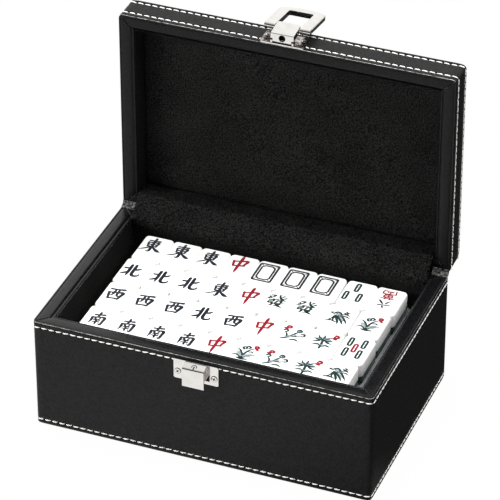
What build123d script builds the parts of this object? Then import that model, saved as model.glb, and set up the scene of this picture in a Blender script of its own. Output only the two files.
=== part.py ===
"""A leather-covered mahjong case, open, with four trays of tiles and a toggle draw latch.

Frame: origin at the centre of the base underside, +X to the right, +Y to the back, +Z up.
The case rests with its lid open at a right angle, the lever of the latch flat on the lid's
front wall and the loop folded back over it. The lid is drawn closed and turned open at the end.
Lengths are in millimetres.
"""
from build123d import *
import os
from math import atan2, cos, sin

os.makedirs("parts", exist_ok=True)

# ---- driving dimensions -------------------------------------------------------------------
CASE_W = 250.0          # outside width
CASE_D = 159.0          # outside depth
BODY_H = 86.8           # height of the lower box, to the top of its rim
LID_H = 22.5            # height of the lid
CORNER_R = 3.4          # outside radius of the upright corners
SKIN = 0.8              # leatherette and its paper backing
BOARD = 10.2            # side boards
LINING = 0.7            # suede lining cloth
RIM_T = 1.7             # padded leatherette strip on the rim
RIM_GAP = 0.1           # the rim strips stand this far back from the parting plane
RIM_EASE, FOOT_EASE, LID_EASE = 0.6, 0.5, 2.0       # eased edges of the rim, foot and lid
BASE_T = 4.8            # base board
LID_TOP_T = 4.5         # lid's top board
TURN_UNDER = 14.0       # width of the leatherette turned under the base

TILE_W, TILE_L, TILE_T = 22.1, 31.8, 17.0
TILE_BACK_T = 6.5       # coloured back layer of a tile
TILE_GAP = 0.2
TILE_CHAMFER = 1.5
COLUMNS, ROWS, LAYERS = 9, 4, 4
BLOCK_X, BLOCK_Y = -1.0, -0.3       # centre of the tile block
TRAY_T = 0.45           # tray sheet
TRAY_WALL_H = 2.6       # low wall round the tiles, from the tray's underside
TRAY_SLACK_X, TRAY_SLACK_Y = 1.2, 0.6       # between the tiles and the tray wall
STACK_GAP = 0.05        # between one layer's tiles and the next tray
FLANGE_Z, LIP_TOP = 0.9, 2.2                # height of the tray's flange, and top of its side lips
FLANGE_SIDE, FLANGE_FRONT = 5.0, 0.8

LATCH_X = -2.5          # the latch sits a little left of centre
PLATE_W = 33.0          # width of the latch's two plates
PLATE_T, PLATE_CORNER = 0.9, 0.8
SCREW_X = 13.4          # screws stand this far each side of the latch's centre
SCREW_HEAD_R, SCREW_HEAD_H, SCREW_R, SCREW_L = 2.3, 0.7, 0.9, 8.0

# ---- worked out from them -----------------------------------------------------------------
WALL = SKIN + BOARD + LINING
HALF_W, HALF_D = CASE_W / 2, CASE_D / 2
BOARD_R = CORNER_R - SKIN                   # upright corners of the boards, under the covering
BOARD_Z0 = SKIN + BASE_T                    # the side boards stand on the base board
BOARD_Z1 = BODY_H - RIM_GAP - RIM_T
FLOOR_PAD_T = 0.8
FLOOR_Z = BOARD_Z0 + FLOOR_PAD_T
LAYER_PITCH = TILE_T + TRAY_T + STACK_GAP
LID_Z0 = BODY_H + RIM_GAP                   # closed lid: under face of its rim strips
LID_BOARD_Z0 = LID_Z0 + RIM_T
LID_Z1 = BODY_H + LID_H
LID_BOARD_Z1 = LID_Z1 - SKIN - LID_TOP_T
LID_PAD_T, LID_PAD_EASE = 2.6, 1.2
HINGE = Axis((0, HALF_D, BODY_H), (1, 0, 0))
LID_OPEN = -90.0        # turn about HINGE that opens the lid
SIDES = {"front": (0, -1), "back": (0, 1), "left": (-1, 0), "right": (1, 0)}


def save(name, *solids):
    """Write one node: a single solid, or a group of like solids."""
    shape = solids[0] if len(solids) == 1 else Compound(children=list(solids))
    shape.label = name
    export_step(shape, f"parts/{name}.step")


def opened(shape):
    """Turn a piece of the closed lid to where it stands with the lid open."""
    return shape.rotate(HINGE, LID_OPEN)


def block(x0, x1, y0, y1, z0, z1):
    """A box between two corners."""
    box = Box(x1 - x0, y1 - y0, z1 - z0, align=(Align.MIN, Align.MIN, Align.MIN))
    return Pos(x0, y0, z0) * box


def slab(inset, z0, z1, radius=0.0):
    """A plate of the case's outline moved in by inset, with round or square upright corners."""
    width, depth = CASE_W - 2 * inset, CASE_D - 2 * inset
    outline = RectangleRounded(width, depth, radius) if radius else Rectangle(width, depth)
    return Pos(0, 0, z0) * extrude(outline, z1 - z0)


def outer_edges(shape, z):
    """The edges that lie flat at height z."""
    return shape.edges().filter_by(lambda e: abs(e.bounding_box().min.Z - z) < 1e-4
                                   and abs(e.bounding_box().max.Z - z) < 1e-4)


def sideways(points, half_width):
    """A profile of (y, z) points carried along X, from -half_width to half_width."""
    outline = make_face(Polyline(*points, close=True))
    return extrude(Plane.YZ * outline, half_width, both=True)


def rod(radius, x0, x1, y, z):
    """A round bar along X."""
    bar = Cylinder(radius, x1 - x0, align=(Align.CENTER, Align.CENTER, Align.MIN))
    return Pos(x0, y, z) * Rot(0, 90, 0) * bar


# ---- boards, covering and lining ----------------------------------------------------------
def side_boards(z0, z1):
    """Four boards: front and back run the full width, left and right stand between them."""
    outline = slab(SKIN, z0, z1, BOARD_R)
    x, y = HALF_W - SKIN, HALF_D - SKIN
    front = outline & block(-x, x, -y, -y + BOARD, z0, z1)
    back = outline & block(-x, x, y - BOARD, y, z0, z1)
    left = block(-x, -x + BOARD, -y + BOARD, y - BOARD, z0, z1)
    right = block(x - BOARD, x, -y + BOARD, y - BOARD, z0, z1)
    return {"front": front, "back": back, "left": left, "right": right}


def rim_strips(z_face, inward):
    """A padded strip round the rim, its edges eased on the face side, mitred into four.

    z_face is the height of the face, and inward is -1 where the strip lies below it, 1 above.
    """
    z_back = z_face + inward * RIM_T
    low, high = min(z_face, z_back), max(z_face, z_back)
    ring = slab(0, low, high, CORNER_R) - slab(WALL, low, high)
    ring = chamfer(outer_edges(ring, z_face), RIM_EASE)
    reach = WALL + 8
    strips = {}
    for side, (ux, uy) in SIDES.items():
        if uy:
            corners = [(-HALF_W, uy * HALF_D), (HALF_W, uy * HALF_D),
                       (HALF_W - reach, uy * (HALF_D - reach)), (-HALF_W + reach, uy * (HALF_D - reach))]
        else:
            corners = [(ux * HALF_W, -HALF_D), (ux * HALF_W, HALF_D),
                       (ux * (HALF_W - reach), HALF_D - reach), (ux * (HALF_W - reach), -HALF_D + reach)]
        wedge = Pos(0, 0, low) * extrude(make_face(Polyline(*corners, close=True)), RIM_T)
        strips[side] = ring & wedge
    return strips


def body_wrap():
    """The covering of the lower box: up the four walls, and turned under the base."""
    shell = slab(0, 0, BOARD_Z1, CORNER_R)
    shell = chamfer(outer_edges(shell, 0), FOOT_EASE)
    shell -= slab(SKIN, SKIN, BOARD_Z1, BOARD_R)
    return shell - slab(TURN_UNDER, 0, SKIN)


def lid_wrap():
    """The covering of the lid: over its top board and down its four walls."""
    shell = slab(0, LID_BOARD_Z0, LID_Z1, CORNER_R)
    shell = fillet(outer_edges(shell, LID_Z1), LID_EASE)
    return shell - lid_core()


def lid_core():
    """The space inside the lid's covering, with the top board's eased edge."""
    core = slab(SKIN, LID_BOARD_Z0, LID_Z1 - SKIN, BOARD_R)
    return chamfer(outer_edges(core, LID_Z1 - SKIN), LID_EASE / 2)


def lining(z0, z1):
    """Suede on the inside of four walls."""
    return slab(WALL - LINING, z0, z1) - slab(WALL, z0, z1)


def hinge_skin():
    """The outside hinge: a strip of leatherette glued down both back walls across the joint."""
    leg, thick = 13.0, SKIN
    y, z = HALF_D, BODY_H
    profile = [(y, z - leg), (y + thick, z - leg), (y + thick, z - thick),
               (y + leg, z - thick), (y + leg, z), (y, z)]
    return sideways(profile, HALF_W - CORNER_R)


def hinge_gusset():
    """The suede stay inside the hinge: taut across the corner, and glued on both linings."""
    leg, thick = 7.0, 0.8
    y0, z0 = HALF_D - WALL, BODY_H          # inside edge of the lower rim
    y1, z1 = HALF_D, BODY_H + WALL          # inside edge of the lid's rim
    rise = thick * 0.4142                   # tan 22.5: where two strips at 45 degrees meet
    profile = [(y0, z0 - leg), (y0, z0), (y1, z1), (y1 + leg, z1), (y1 + leg, z1 + thick),
               (y1 - rise, z1 + thick), (y0 - thick, z0 + rise), (y0 - thick, z0 - leg)]
    return sideways(profile, HALF_W - WALL - 0.7)


# ---- tiles and trays ----------------------------------------------------------------------
def tile_pair(full):
    """A tile's white face block and coloured back, standing on z = 0 with the face up.

    Only the top layer, the one open to view, has its edges eased.
    """
    half_w, half_l = TILE_W / 2, TILE_L / 2
    back = block(-half_w, half_w, -half_l, half_l, 0, TILE_BACK_T)
    face = block(-half_w, half_w, -half_l, half_l, TILE_BACK_T, TILE_T)
    if full:
        back = chamfer(back.edges().filter_by(Axis.Z), TILE_CHAMFER)
        face = chamfer(face.edges().filter_by(Axis.Z), TILE_CHAMFER)
        face = chamfer(outer_edges(face, TILE_T), TILE_CHAMFER)
    return face, back


def tile_places():
    """The centre of every tile in a layer, row by row from the front."""
    pitch_x, pitch_y = TILE_W + TILE_GAP, TILE_L + TILE_GAP
    for row in range(ROWS):
        for column in range(COLUMNS):
            yield (BLOCK_X + (column - (COLUMNS - 1) / 2) * pitch_x,
                   BLOCK_Y + (row - (ROWS - 1) / 2) * pitch_y)


def tray():
    """A clear formed tray: a thin floor, a low wall round the tiles, a flange turned outward,
    and a lip along the flange's two side edges."""
    pocket_w = COLUMNS * (TILE_W + TILE_GAP) + 2 * TRAY_SLACK_X
    pocket_l = ROWS * (TILE_L + TILE_GAP) + 2 * TRAY_SLACK_Y
    shell_w, shell_l = pocket_w + 2 * TRAY_T, pocket_l + 2 * TRAY_T
    flange_w, flange_l = shell_w + 2 * FLANGE_SIDE, shell_l + 2 * FLANGE_FRONT
    body = extrude(Rectangle(shell_w, shell_l), TRAY_WALL_H)
    flange = block(-flange_w / 2, flange_w / 2, -flange_l / 2, flange_l / 2, FLANGE_Z, LIP_TOP)
    flange = chamfer(flange.edges().filter_by(Axis.Z), 2 * FLANGE_FRONT)
    inner = flange_w / 2 - TRAY_T
    body += flange - block(-inner, inner, -flange_l, flange_l, FLANGE_Z + TRAY_T, LIP_TOP)
    body -= Pos(0, 0, TRAY_T) * extrude(Rectangle(pocket_w, pocket_l), TRAY_WALL_H)
    return Pos(BLOCK_X, BLOCK_Y, 0) * body


# ---- latch --------------------------------------------------------------------------------
# The latch's pieces on the lid are drawn about the point where the lid's front wall meets
# the parting plane: y runs back from the parting plane and z stands out of the wall.
LID_WALL = Pos(LATCH_X, HALF_D, BODY_H + CASE_D)
LEVER_HALF, HOOK_HALF = 8.5, 8.0            # half widths of the lever and of the strike's hook
NEAR = 0.01                                 # how close an edge must be to be picked out
PIN_R, PIN_PLAY = 0.7, 0.05
LEVER_PIVOT = (2.4, 2.6)                    # (y, z) of the lever's pin
KNUCKLE_R, EAR_T = 1.55, 1.3
LEVER_T, CREASE, LEVER_END = 1.1, (1.4, 8.4), (15.6, 10.0)   # plate, top of its front, back edge
FINGER_HOLE_R, FINGER_HOLE_Z = 2.5, 5.2
LOOP_PIVOT = (12.6, 7.5)                    # (y, z) of the loop's pin, carried by the lever
LOOP_T, LOOP_HALF, LOOP_LEG = 3.8, 17.0, 7.9
LOOP_REACH, LOOP_BAR = 33.9, 6.5            # pin to far edge, and width of the crossbar
LOOP_BOW = 3.0                              # the far edge bows out this far past its corners
LOOP_KNUCKLE_R = 1.95
LOOP_DROOP = 8.0                            # the folded loop hangs this far below level
HOOK_OUT, LIP_T = 6.8, 1.1                  # strike: how far its lip stands out, lip thickness
HOOK_TOP, HOOK_SEAT, HOOK_TIP = 3.4, 13.9, 20.0     # depths below the rim
HOOK_DIP, HOOK_BEND = 1.8, 1.6              # fall of the hook's roof, and radius of its crest
STRIKE_TOP, STRIKE_FOOT, STRIKE_SCREW_DOWN = 3.0, 18.8, 12.8
BASE_Y0, BASE_Y1, BASE_SCREW_Y = 0.5, 16.0, 10.0


def screws(points, turn):
    """Flat-headed wood screws and their shanks, one at each point, heads along the turned Z."""
    standing = (Align.CENTER, Align.CENTER, Align.MIN)
    head = Cylinder(SCREW_HEAD_R, SCREW_HEAD_H, align=standing)
    shank = Pos(0, 0, -SCREW_L) * Cylinder(SCREW_R, SCREW_L, align=standing)
    screw = head + shank
    return [Pos(*p) * turn * screw for p in points], [Pos(*p) * turn * shank for p in points]


def latch_base():
    """Plate on the lid's wall, with two ears at its front that hold the lever's pin."""
    plate = block(-PLATE_W / 2, PLATE_W / 2, BASE_Y0, BASE_Y1, 0, PLATE_T)
    plate = chamfer(plate.edges().filter_by(Axis.Z), PLATE_CORNER)
    y, z = LEVER_PIVOT
    ear = block(-EAR_T / 2, EAR_T / 2, y - KNUCKLE_R, y + KNUCKLE_R, 0, z)
    ear += rod(KNUCKLE_R, -EAR_T / 2, EAR_T / 2, y, z)
    ear_x = LEVER_HALF - EAR_T / 2
    base = plate + Pos(-ear_x, 0, 0) * ear + Pos(ear_x, 0, 0) * ear
    base -= rod(PIN_R, -LEVER_HALF, LEVER_HALF, y, z)
    for x in (-SCREW_X, SCREW_X):
        base -= Pos(x, BASE_SCREW_Y, 0) * Cylinder(SCREW_R, 4)
    return LID_WALL * base


def latch_lever():
    """A bent plate: knuckle round the pin, front with a finger hole, sloping top, two cheeks."""
    y, z = LEVER_PIVOT
    (crease_y, crease_z), (end_y, end_z) = CREASE, LEVER_END
    slope = atan2(end_z - crease_z, end_y - crease_y)
    under_y, under_z = LEVER_T * sin(slope), LEVER_T * cos(slope)
    front_y = y - KNUCKLE_R
    top = [(crease_y, crease_z), (end_y, end_z), (end_y + under_y, end_z - under_z),
           (crease_y + LEVER_T, crease_z - under_z)]
    front = [(front_y, z), (crease_y, crease_z), (crease_y + LEVER_T, crease_z), (front_y + LEVER_T, z)]
    neck = LEVER_HALF - EAR_T - 0.3         # the front narrows to pass between the ears
    lever = sideways(top, LEVER_HALF) + sideways(front, LEVER_HALF)
    lever -= block(neck, 2 * LEVER_HALF, 0, 5, 0, z + KNUCKLE_R + 0.3)
    lever -= block(-2 * LEVER_HALF, -neck, 0, 5, 0, z + KNUCKLE_R + 0.3)
    lever += rod(KNUCKLE_R, -neck, neck, y, z)
    cheek = sideways([(crease_y + 0.2, crease_z - 1), (crease_y + 0.4, 4.6), (11.4, 4.9), (14.6, 6.6),
                      (14.6, end_z - 1), (6, crease_z)], LEVER_T / 2)
    cheek_x = LEVER_HALF - LEVER_T / 2
    lever += Pos(-cheek_x, 0, 0) * cheek + Pos(cheek_x, 0, 0) * cheek
    back_corners = lever.edges().filter_by(lambda e: e.center().Y > end_y
                                           and abs(e.center().X) > LEVER_HALF - NEAR)
    lever = fillet(back_corners, 1.6)
    crease = lever.edges().filter_by(Axis.X).filter_by(
        lambda e: abs(e.center().Y - crease_y) < NEAR and abs(e.center().Z - crease_z) < NEAR)
    lever = fillet(crease, 0.6)
    lever -= Pos(0, 0, FINGER_HOLE_Z) * Rot(-90, 0, 0) * Cylinder(FINGER_HOLE_R, 7)
    lever -= rod(PIN_R + PIN_PLAY, -LEVER_HALF, LEVER_HALF, y, z)
    lever -= rod(PIN_R, -LEVER_HALF - 1, LEVER_HALF + 1, *LOOP_PIVOT)
    return LID_WALL * lever


def latch_loop():
    """A cast U: two legs with a knuckle each, and a bowed crossbar that hooks the strike."""
    half_t, corner_y = LOOP_T / 2, LOOP_REACH - LOOP_BOW
    outline = Polyline((LOOP_HALF, corner_y), (LOOP_HALF, 0), (-LOOP_HALF, 0), (-LOOP_HALF, corner_y))
    outline += ThreePointArc((-LOOP_HALF, corner_y), (0, LOOP_REACH), (LOOP_HALF, corner_y))
    plate = extrude(make_face(outline), half_t, both=True)
    plate = fillet(plate.edges().filter_by(Axis.Z).filter_by(lambda e: e.center().Y > 1), 4.0)
    inner = LOOP_HALF - LOOP_LEG
    window = block(-inner, inner, -5, LOOP_REACH - LOOP_BAR, -half_t, half_t)
    window = fillet(window.edges().filter_by(Axis.Z).filter_by(lambda e: e.center().Y > 1), 1.2)
    loop = plate - window
    for x0, x1 in ((-LOOP_HALF, -inner), (inner, LOOP_HALF)):
        loop += rod(LOOP_KNUCKLE_R, x0, x1, 0, 0)
    loop = chamfer(loop.edges().filter_by(lambda e: e.center().Y > corner_y + NEAR), 0.5)
    loop -= rod(PIN_R + PIN_PLAY, -LOOP_HALF, LOOP_HALF, 0, 0)
    y, z = LOOP_PIVOT
    return LID_WALL * Pos(0, y, z) * Rot(-LOOP_DROOP, 0, 0) * loop


def strike():
    """Plate on the body's front wall with a hook: a sloping roof, a crest and a hanging lip."""
    plate = block(-PLATE_W / 2, PLATE_W / 2, -PLATE_T, 0, -STRIKE_FOOT, -STRIKE_TOP)
    plate = chamfer(plate.edges().filter_by(Axis.Y), PLATE_CORNER)
    inside = HOOK_OUT - LIP_T
    profile = Polyline((0, -HOOK_TOP), (-HOOK_OUT, -HOOK_TOP - HOOK_DIP), (-HOOK_OUT, -HOOK_TIP),
                       (-inside, -HOOK_TIP), (-inside, -HOOK_SEAT), (0, -HOOK_SEAT), close=True)
    hook = extrude(Plane.YZ * make_face(profile), HOOK_HALF, both=True)
    crest = hook.edges().filter_by(Axis.X).filter_by(
        lambda e: abs(e.center().Y + HOOK_OUT) < NEAR and e.center().Z > -HOOK_SEAT)
    hook = fillet(crest, HOOK_BEND)
    throat = hook.edges().filter_by(Axis.X).filter_by(
        lambda e: abs(e.center().Y + inside) < NEAR and abs(e.center().Z + HOOK_SEAT) < NEAR)
    hook = fillet(throat, HOOK_BEND / 2)
    body = plate + hook
    for x in (-SCREW_X, SCREW_X):
        body -= Pos(x, 0, -STRIKE_SCREW_DOWN) * Rot(90, 0, 0) * Cylinder(SCREW_R, 4)
    return Pos(LATCH_X, -HALF_D, BODY_H) * body


def main():
    # lower box
    strike_points = [(LATCH_X + x, -HALF_D - PLATE_T, BODY_H - STRIKE_SCREW_DOWN)
                     for x in (-SCREW_X, SCREW_X)]
    strike_screws, strike_holes = screws(strike_points, Rot(90, 0, 0))
    boards = side_boards(BOARD_Z0, BOARD_Z1)
    wrap = body_wrap()
    for hole in strike_holes:
        boards["front"] -= hole
        wrap -= hole
    save("base_board", slab(SKIN, SKIN, BOARD_Z0, BOARD_R))
    for side, board in boards.items():
        save(f"{side}_board", board)
    save("body_wrap", wrap)
    save("base_sheet", slab(TURN_UNDER + 0.1, 0, SKIN))
    save("body_lining", lining(BOARD_Z0, BOARD_Z1))
    save("floor_pad", slab(WALL, BOARD_Z0, FLOOR_Z))
    for side, strip in rim_strips(BODY_H - RIM_GAP, -1).items():
        save(f"body_rim_{side}", strip)
    save("hinge_skin", hinge_skin())
    save("hinge_gusset", hinge_gusset())
    save("strike_hook", strike())
    save("strike_screws", *strike_screws)

    # lid
    latch_points = [(x, BASE_SCREW_Y, PLATE_T) for x in (-SCREW_X, SCREW_X)]
    latch_screws, latch_holes = screws(latch_points, Rot(0, 0, 0))
    latch_screws = [LID_WALL * screw for screw in latch_screws]
    latch_holes = [LID_WALL * hole for hole in latch_holes]
    boards = {side: opened(board) for side, board in side_boards(LID_BOARD_Z0, LID_BOARD_Z1).items()}
    wrap = opened(lid_wrap())
    for hole in latch_holes:
        boards["front"] -= hole
        wrap -= hole
    for side, board in boards.items():
        save(f"lid_{side}_board", board)
    save("lid_top_board", opened(lid_core() & slab(SKIN, LID_BOARD_Z1, LID_Z1 - SKIN)))
    save("lid_wrap", wrap)
    save("lid_lining", opened(lining(LID_BOARD_Z0, LID_BOARD_Z1)))
    pad = slab(WALL + 0.2, LID_BOARD_Z1 - LID_PAD_T, LID_BOARD_Z1)
    save("lid_pad", opened(chamfer(outer_edges(pad, LID_BOARD_Z1 - LID_PAD_T), LID_PAD_EASE)))
    for side, strip in rim_strips(LID_Z0, 1).items():
        save(f"lid_rim_{side}", opened(strip))
    save("latch_base", latch_base())
    save("latch_screws", *latch_screws)
    save("lever_pin", LID_WALL * rod(PIN_R, -LEVER_HALF, LEVER_HALF, *LEVER_PIVOT))
    save("latch_lever", latch_lever())
    save("loop_pin", LID_WALL * rod(PIN_R, -LOOP_HALF + 0.4, LOOP_HALF - 0.4, *LOOP_PIVOT))
    save("latch_loop", latch_loop())

    # trays and tiles, counted from the bottom
    places = list(tile_places())
    tray_shape = tray()
    for layer in range(LAYERS):
        z = FLOOR_Z + 0.1 + layer * LAYER_PITCH
        number = layer + 1
        face, back = tile_pair(full=number == LAYERS)
        save(f"tray_{number}", Pos(0, 0, z) * tray_shape)
        save(f"tile_faces_{number}", *[Pos(x, y, z + TRAY_T) * face for x, y in places])
        save(f"tile_backs_{number}", *[Pos(x, y, z + TRAY_T) * back for x, y in places])


main()
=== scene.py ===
"""Looks for the leather-covered mahjong case: covering, stitches, suede, trays, tiles and latch.

Shapes are parametric surfaces in millimetres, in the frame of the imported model, scaled to metres
as each mesh is made. The lid's pieces are drawn closed and turned open about the hinge.
"""
from math import atan2, ceil, cos, pi, radians, sin

import bmesh
import bpy
import numpy as np
from mathutils import Euler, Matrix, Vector
from mathutils.bvhtree import BVHTree


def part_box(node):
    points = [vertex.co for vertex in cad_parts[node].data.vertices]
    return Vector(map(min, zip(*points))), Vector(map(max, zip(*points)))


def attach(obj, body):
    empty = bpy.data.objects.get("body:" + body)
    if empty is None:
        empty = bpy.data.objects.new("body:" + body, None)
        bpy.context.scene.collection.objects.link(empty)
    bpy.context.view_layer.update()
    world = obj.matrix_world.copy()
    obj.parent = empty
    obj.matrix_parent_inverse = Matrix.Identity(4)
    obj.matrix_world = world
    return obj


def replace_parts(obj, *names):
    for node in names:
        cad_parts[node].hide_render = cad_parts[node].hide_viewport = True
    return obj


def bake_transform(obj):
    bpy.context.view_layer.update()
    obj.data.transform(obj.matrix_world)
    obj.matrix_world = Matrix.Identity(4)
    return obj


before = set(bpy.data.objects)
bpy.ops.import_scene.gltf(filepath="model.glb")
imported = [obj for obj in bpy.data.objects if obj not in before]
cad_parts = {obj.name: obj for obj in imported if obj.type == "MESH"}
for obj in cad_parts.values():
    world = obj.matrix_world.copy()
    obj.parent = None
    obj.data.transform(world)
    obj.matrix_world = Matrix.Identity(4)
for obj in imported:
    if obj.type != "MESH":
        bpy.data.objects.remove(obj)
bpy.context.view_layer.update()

# ---- sizes, in millimetres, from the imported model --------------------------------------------
X, Y, Z = 0, 1, 2
LOW, HIGH = 0, 1


def end_of(node, which, axis):
    """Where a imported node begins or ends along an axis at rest, to a hundredth."""
    return round(float(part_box(node)[which][axis]) * 1000, 2)


def span(node, axis):
    """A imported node's length along an axis."""
    return end_of(node, HIGH, axis) - end_of(node, LOW, axis)


def middle(node, axis):
    """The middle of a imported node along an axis, to a hundredth."""
    return round((end_of(node, HIGH, axis) + end_of(node, LOW, axis)) / 2, 2)


def closed_z(y):
    """Height on the closed lid of what stands at y on the open lid, to a hundredth."""
    return round(BODY_H + y - HALF_D, 2)


HALF_W, HALF_D = end_of("body_wrap", HIGH, X), end_of("body_wrap", HIGH, Y)
BODY_H = end_of("lid_wrap", LOW, Z)                             # the parting plane
CORNER_R = 3.4                                                  # upright corners of the case
WALL = round(HALF_W - end_of("body_rim_right", LOW, X), 2)      # covering, board and lining
RIM_Z = end_of("body_rim_front", HIGH, Z)                       # face of the body's rim
LID_RIM_Z = closed_z(end_of("lid_rim_front", LOW, Y))           # face of the closed lid's rim
LID_TOP = closed_z(end_of("lid_wrap", HIGH, Y))
PADDED_TOP, LID_BEND = LID_TOP + 0.5, 1.6                       # face of the panel, its rounded edge

COLUMNS, ROWS, LAYERS = 9, 4, 4
PACKED_GAP, TILE_GAP, TILE_CORNER = 0.2, 0.04, 3.3
TILE_W = round((span("tile_faces_1", X) - (COLUMNS - 1) * PACKED_GAP) / COLUMNS, 2)
TILE_L = round((span("tile_faces_1", Y) - (ROWS - 1) * PACKED_GAP) / ROWS, 2)
FIRST_TILE_Z = end_of("tile_backs_1", LOW, Z)
TILE_T = round(end_of("tile_faces_1", HIGH, Z) - FIRST_TILE_Z, 2)
TILE_BACK = round(end_of("tile_backs_1", HIGH, Z) - FIRST_TILE_Z, 2)
LAYER_PITCH = round(end_of("tile_backs_2", LOW, Z) - FIRST_TILE_Z, 2)
BLOCK_X, BLOCK_Y = round(middle("tile_faces_1", X) + 0.4, 2), middle("tile_faces_1", Y)

HEAD_R, SCREW_SEAT = 2.3, 0.9                                   # screw heads, plates under them
LATCH_X = middle("latch_base", X)
SCREW_X = round(span("latch_screws", X) / 2 - HEAD_R, 2)        # to either side of the latch's middle
STRIKE_SCREW_Z, BASE_SCREW_Y = middle("strike_screws", Z), middle("latch_screws", Y)
BASE_SCREW_Z = end_of("latch_base", LOW, Z)
HOLE_Z = BASE_SCREW_Z + 5.2                                     # finger hole, with the lid open

STITCHES = 150                                                  # round the case
STITCH_L, STITCH_W, STITCH_H = 4.9, 0.96, 0.62
BODY_STITCH_Z = (3.9, round(BODY_H - 4.3, 2))
LID_STITCH_Z = (round(BODY_H + 4.6, 2), round(LID_TOP - 3.1, 2))


# ---- meshes --------------------------------------------------------------------------------
def mesh_piece(name, verts, faces, material, body):
    """A piece from arrays of points in millimetres and faces, riding on a body."""
    mesh = bpy.data.meshes.new(name)
    points = (np.asarray(verts, float).reshape(-1, 3) * 0.001).tolist()
    mesh.from_pydata(points, [], [list(map(int, f)) for f in faces])
    mesh.validate()
    mesh.polygons.foreach_set("use_smooth", [True] * len(mesh.polygons))
    for m in material if isinstance(material, (list, tuple)) else [material]:
        mesh.materials.append(m)
    piece = bpy.data.objects.new(name, mesh)
    bpy.context.collection.objects.link(piece)
    if body:
        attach(piece, body)
    return piece


def case_piece(name, verts, faces, material, opened):
    """A piece of the lower box, or a piece drawn on the closed lid and turned open with it."""
    points = np.asarray(verts, float).reshape(-1, 3)
    body = "lid" if opened else "case"
    return mesh_piece(name, open_lid(points) if opened else points, faces, material, body)


def turn_outward(piece):
    """Faces of a closed piece turned to point outwards."""
    bm = bmesh.new()
    bm.from_mesh(piece.data)
    bmesh.ops.recalc_face_normals(bm, faces=bm.faces)
    bm.to_mesh(piece.data)
    bm.free()


def paint_faces(piece, numbers):
    """Gives each face the material of that number."""
    piece.data.polygons.foreach_set("material_index", [int(n) for n in numbers])


def grid_faces(rows, columns, wrap_rows=False, wrap_columns=False, flip=False):
    """Quads of a grid of points numbered row by row."""
    i = np.arange(rows if wrap_rows else rows - 1)
    j = np.arange(columns if wrap_columns else columns - 1)
    i, j = np.meshgrid(i, j, indexing="ij")
    i2, j2 = (i + 1) % rows, (j + 1) % columns
    quads = np.stack([i * columns + j, i2 * columns + j, i2 * columns + j2, i * columns + j2], -1)
    quads = quads.reshape(-1, 4)
    return quads[:, ::-1] if flip else quads


def wander(points, size, seed):
    """A smooth pseudo-random value from -1 to 1 at each point: a sum of five sine waves whose
    wavelengths lie near size and whose directions and phases come from the seed."""
    random = np.random.default_rng(seed)
    total = np.zeros(len(points))
    for _ in range(5):
        direction = random.normal(size=3)
        direction *= 2 * pi / (size * random.uniform(0.6, 1.6)) / np.linalg.norm(direction)
        total += np.sin(points @ direction + random.uniform(0, 2 * pi))
    return total / 3.2


def open_lid(points):
    """Turns points of the closed lid a quarter turn back about the hinge: height above the
    parting plane becomes depth behind it, and distance from the hinge becomes height."""
    p = np.array(points, float).reshape(-1, 3)
    return np.column_stack([p[:, 0], HALF_D + p[:, 2] - BODY_H, BODY_H - (p[:, 1] - HALF_D)])


# The case's outline is followed counter-clockwise from the front left corner's diagonal. Each
# side is half a corner arc, a straight and half an arc; s is the length along the outer outline.
STRAIGHT = (2 * (HALF_W - CORNER_R), 2 * (HALF_D - CORNER_R)) * 2
HALF_ARC = pi * CORNER_R / 4
SIDE_START = np.cumsum([0.0] + [2 * HALF_ARC + straight for straight in STRAIGHT])
ROUND = SIDE_START[-1]
SIDE_FRAMES = (((1, 0), (0, -1)), ((0, 1), (1, 0)), ((-1, 0), (0, 1)), ((0, -1), (-1, 0)))
SIDE_NAMES = ("front", "right", "back", "left")
LEAST_R = 0.25                                                  # of an upright corner moved inwards


def case_ring(s, inset, least_r=LEAST_R):
    """Points and outward normals of the outline moved in by inset, at lengths s along it.

    The corner radius is CORNER_R - inset, or least_r if that is more. A length on a straight
    keeps its share of the straight, and a length on an arc keeps its angle.
    """
    s = np.asarray(s, float) % ROUND
    radius = max(CORNER_R - inset, least_r)
    points, normals = np.zeros((len(s), 2)), np.zeros((len(s), 2))
    for k, (tangent, normal) in enumerate(SIDE_FRAMES):
        tangent, normal = np.array(tangent, float), np.array(normal, float)
        here = (s >= SIDE_START[k]) & (s < SIDE_START[k + 1])
        u = s[here] - SIDE_START[k]
        along, out = (HALF_W, HALF_D) if k % 2 == 0 else (HALF_D, HALF_W)
        reach = along - inset - radius
        first, last = u < HALF_ARC, u > HALF_ARC + STRAIGHT[k]
        angle = np.where(first, u / HALF_ARC - 1, 0)
        angle = angle + np.where(last, (u - HALF_ARC - STRAIGHT[k]) / HALF_ARC, 0)
        angle *= pi / 4
        share = np.clip((u - HALF_ARC) / STRAIGHT[k] * 2 - 1, -1, 1)
        facing = np.outer(np.sin(angle), tangent) + np.outer(np.cos(angle), normal)
        points[here] = np.outer(share * reach, tangent) + (out - inset - radius) * normal + radius * facing
        normals[here] = facing
    return points, normals


def case_sweep(profile, s, least_r=LEAST_R):
    """A profile of (inset, height) points carried round the outline: an array of
    len(s) rows and len(profile) columns of 3-D points."""
    sheet = np.zeros((len(s), len(profile), 3))
    for j, (inset, z) in enumerate(profile):
        sheet[:, j, :2] = case_ring(s, inset, least_r)[0]
        sheet[:, j, 2] = z
    return sheet


def grid_column(rows, columns, place):
    """Numbers of the points in one column of a grid, row after row."""
    return [i * columns + place for i in range(rows)]


def spaced(low, high, step):
    """Evenly spaced values from low to high, no further apart than step."""
    return list(np.linspace(low, high, max(2, ceil((high - low) / step) + 1)))


def eased(radius, count=5):
    """(rise, inset) along a quarter round."""
    return [(radius * sin(a), radius * (1 - cos(a))) for a in np.linspace(0, pi / 2, count)]


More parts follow.
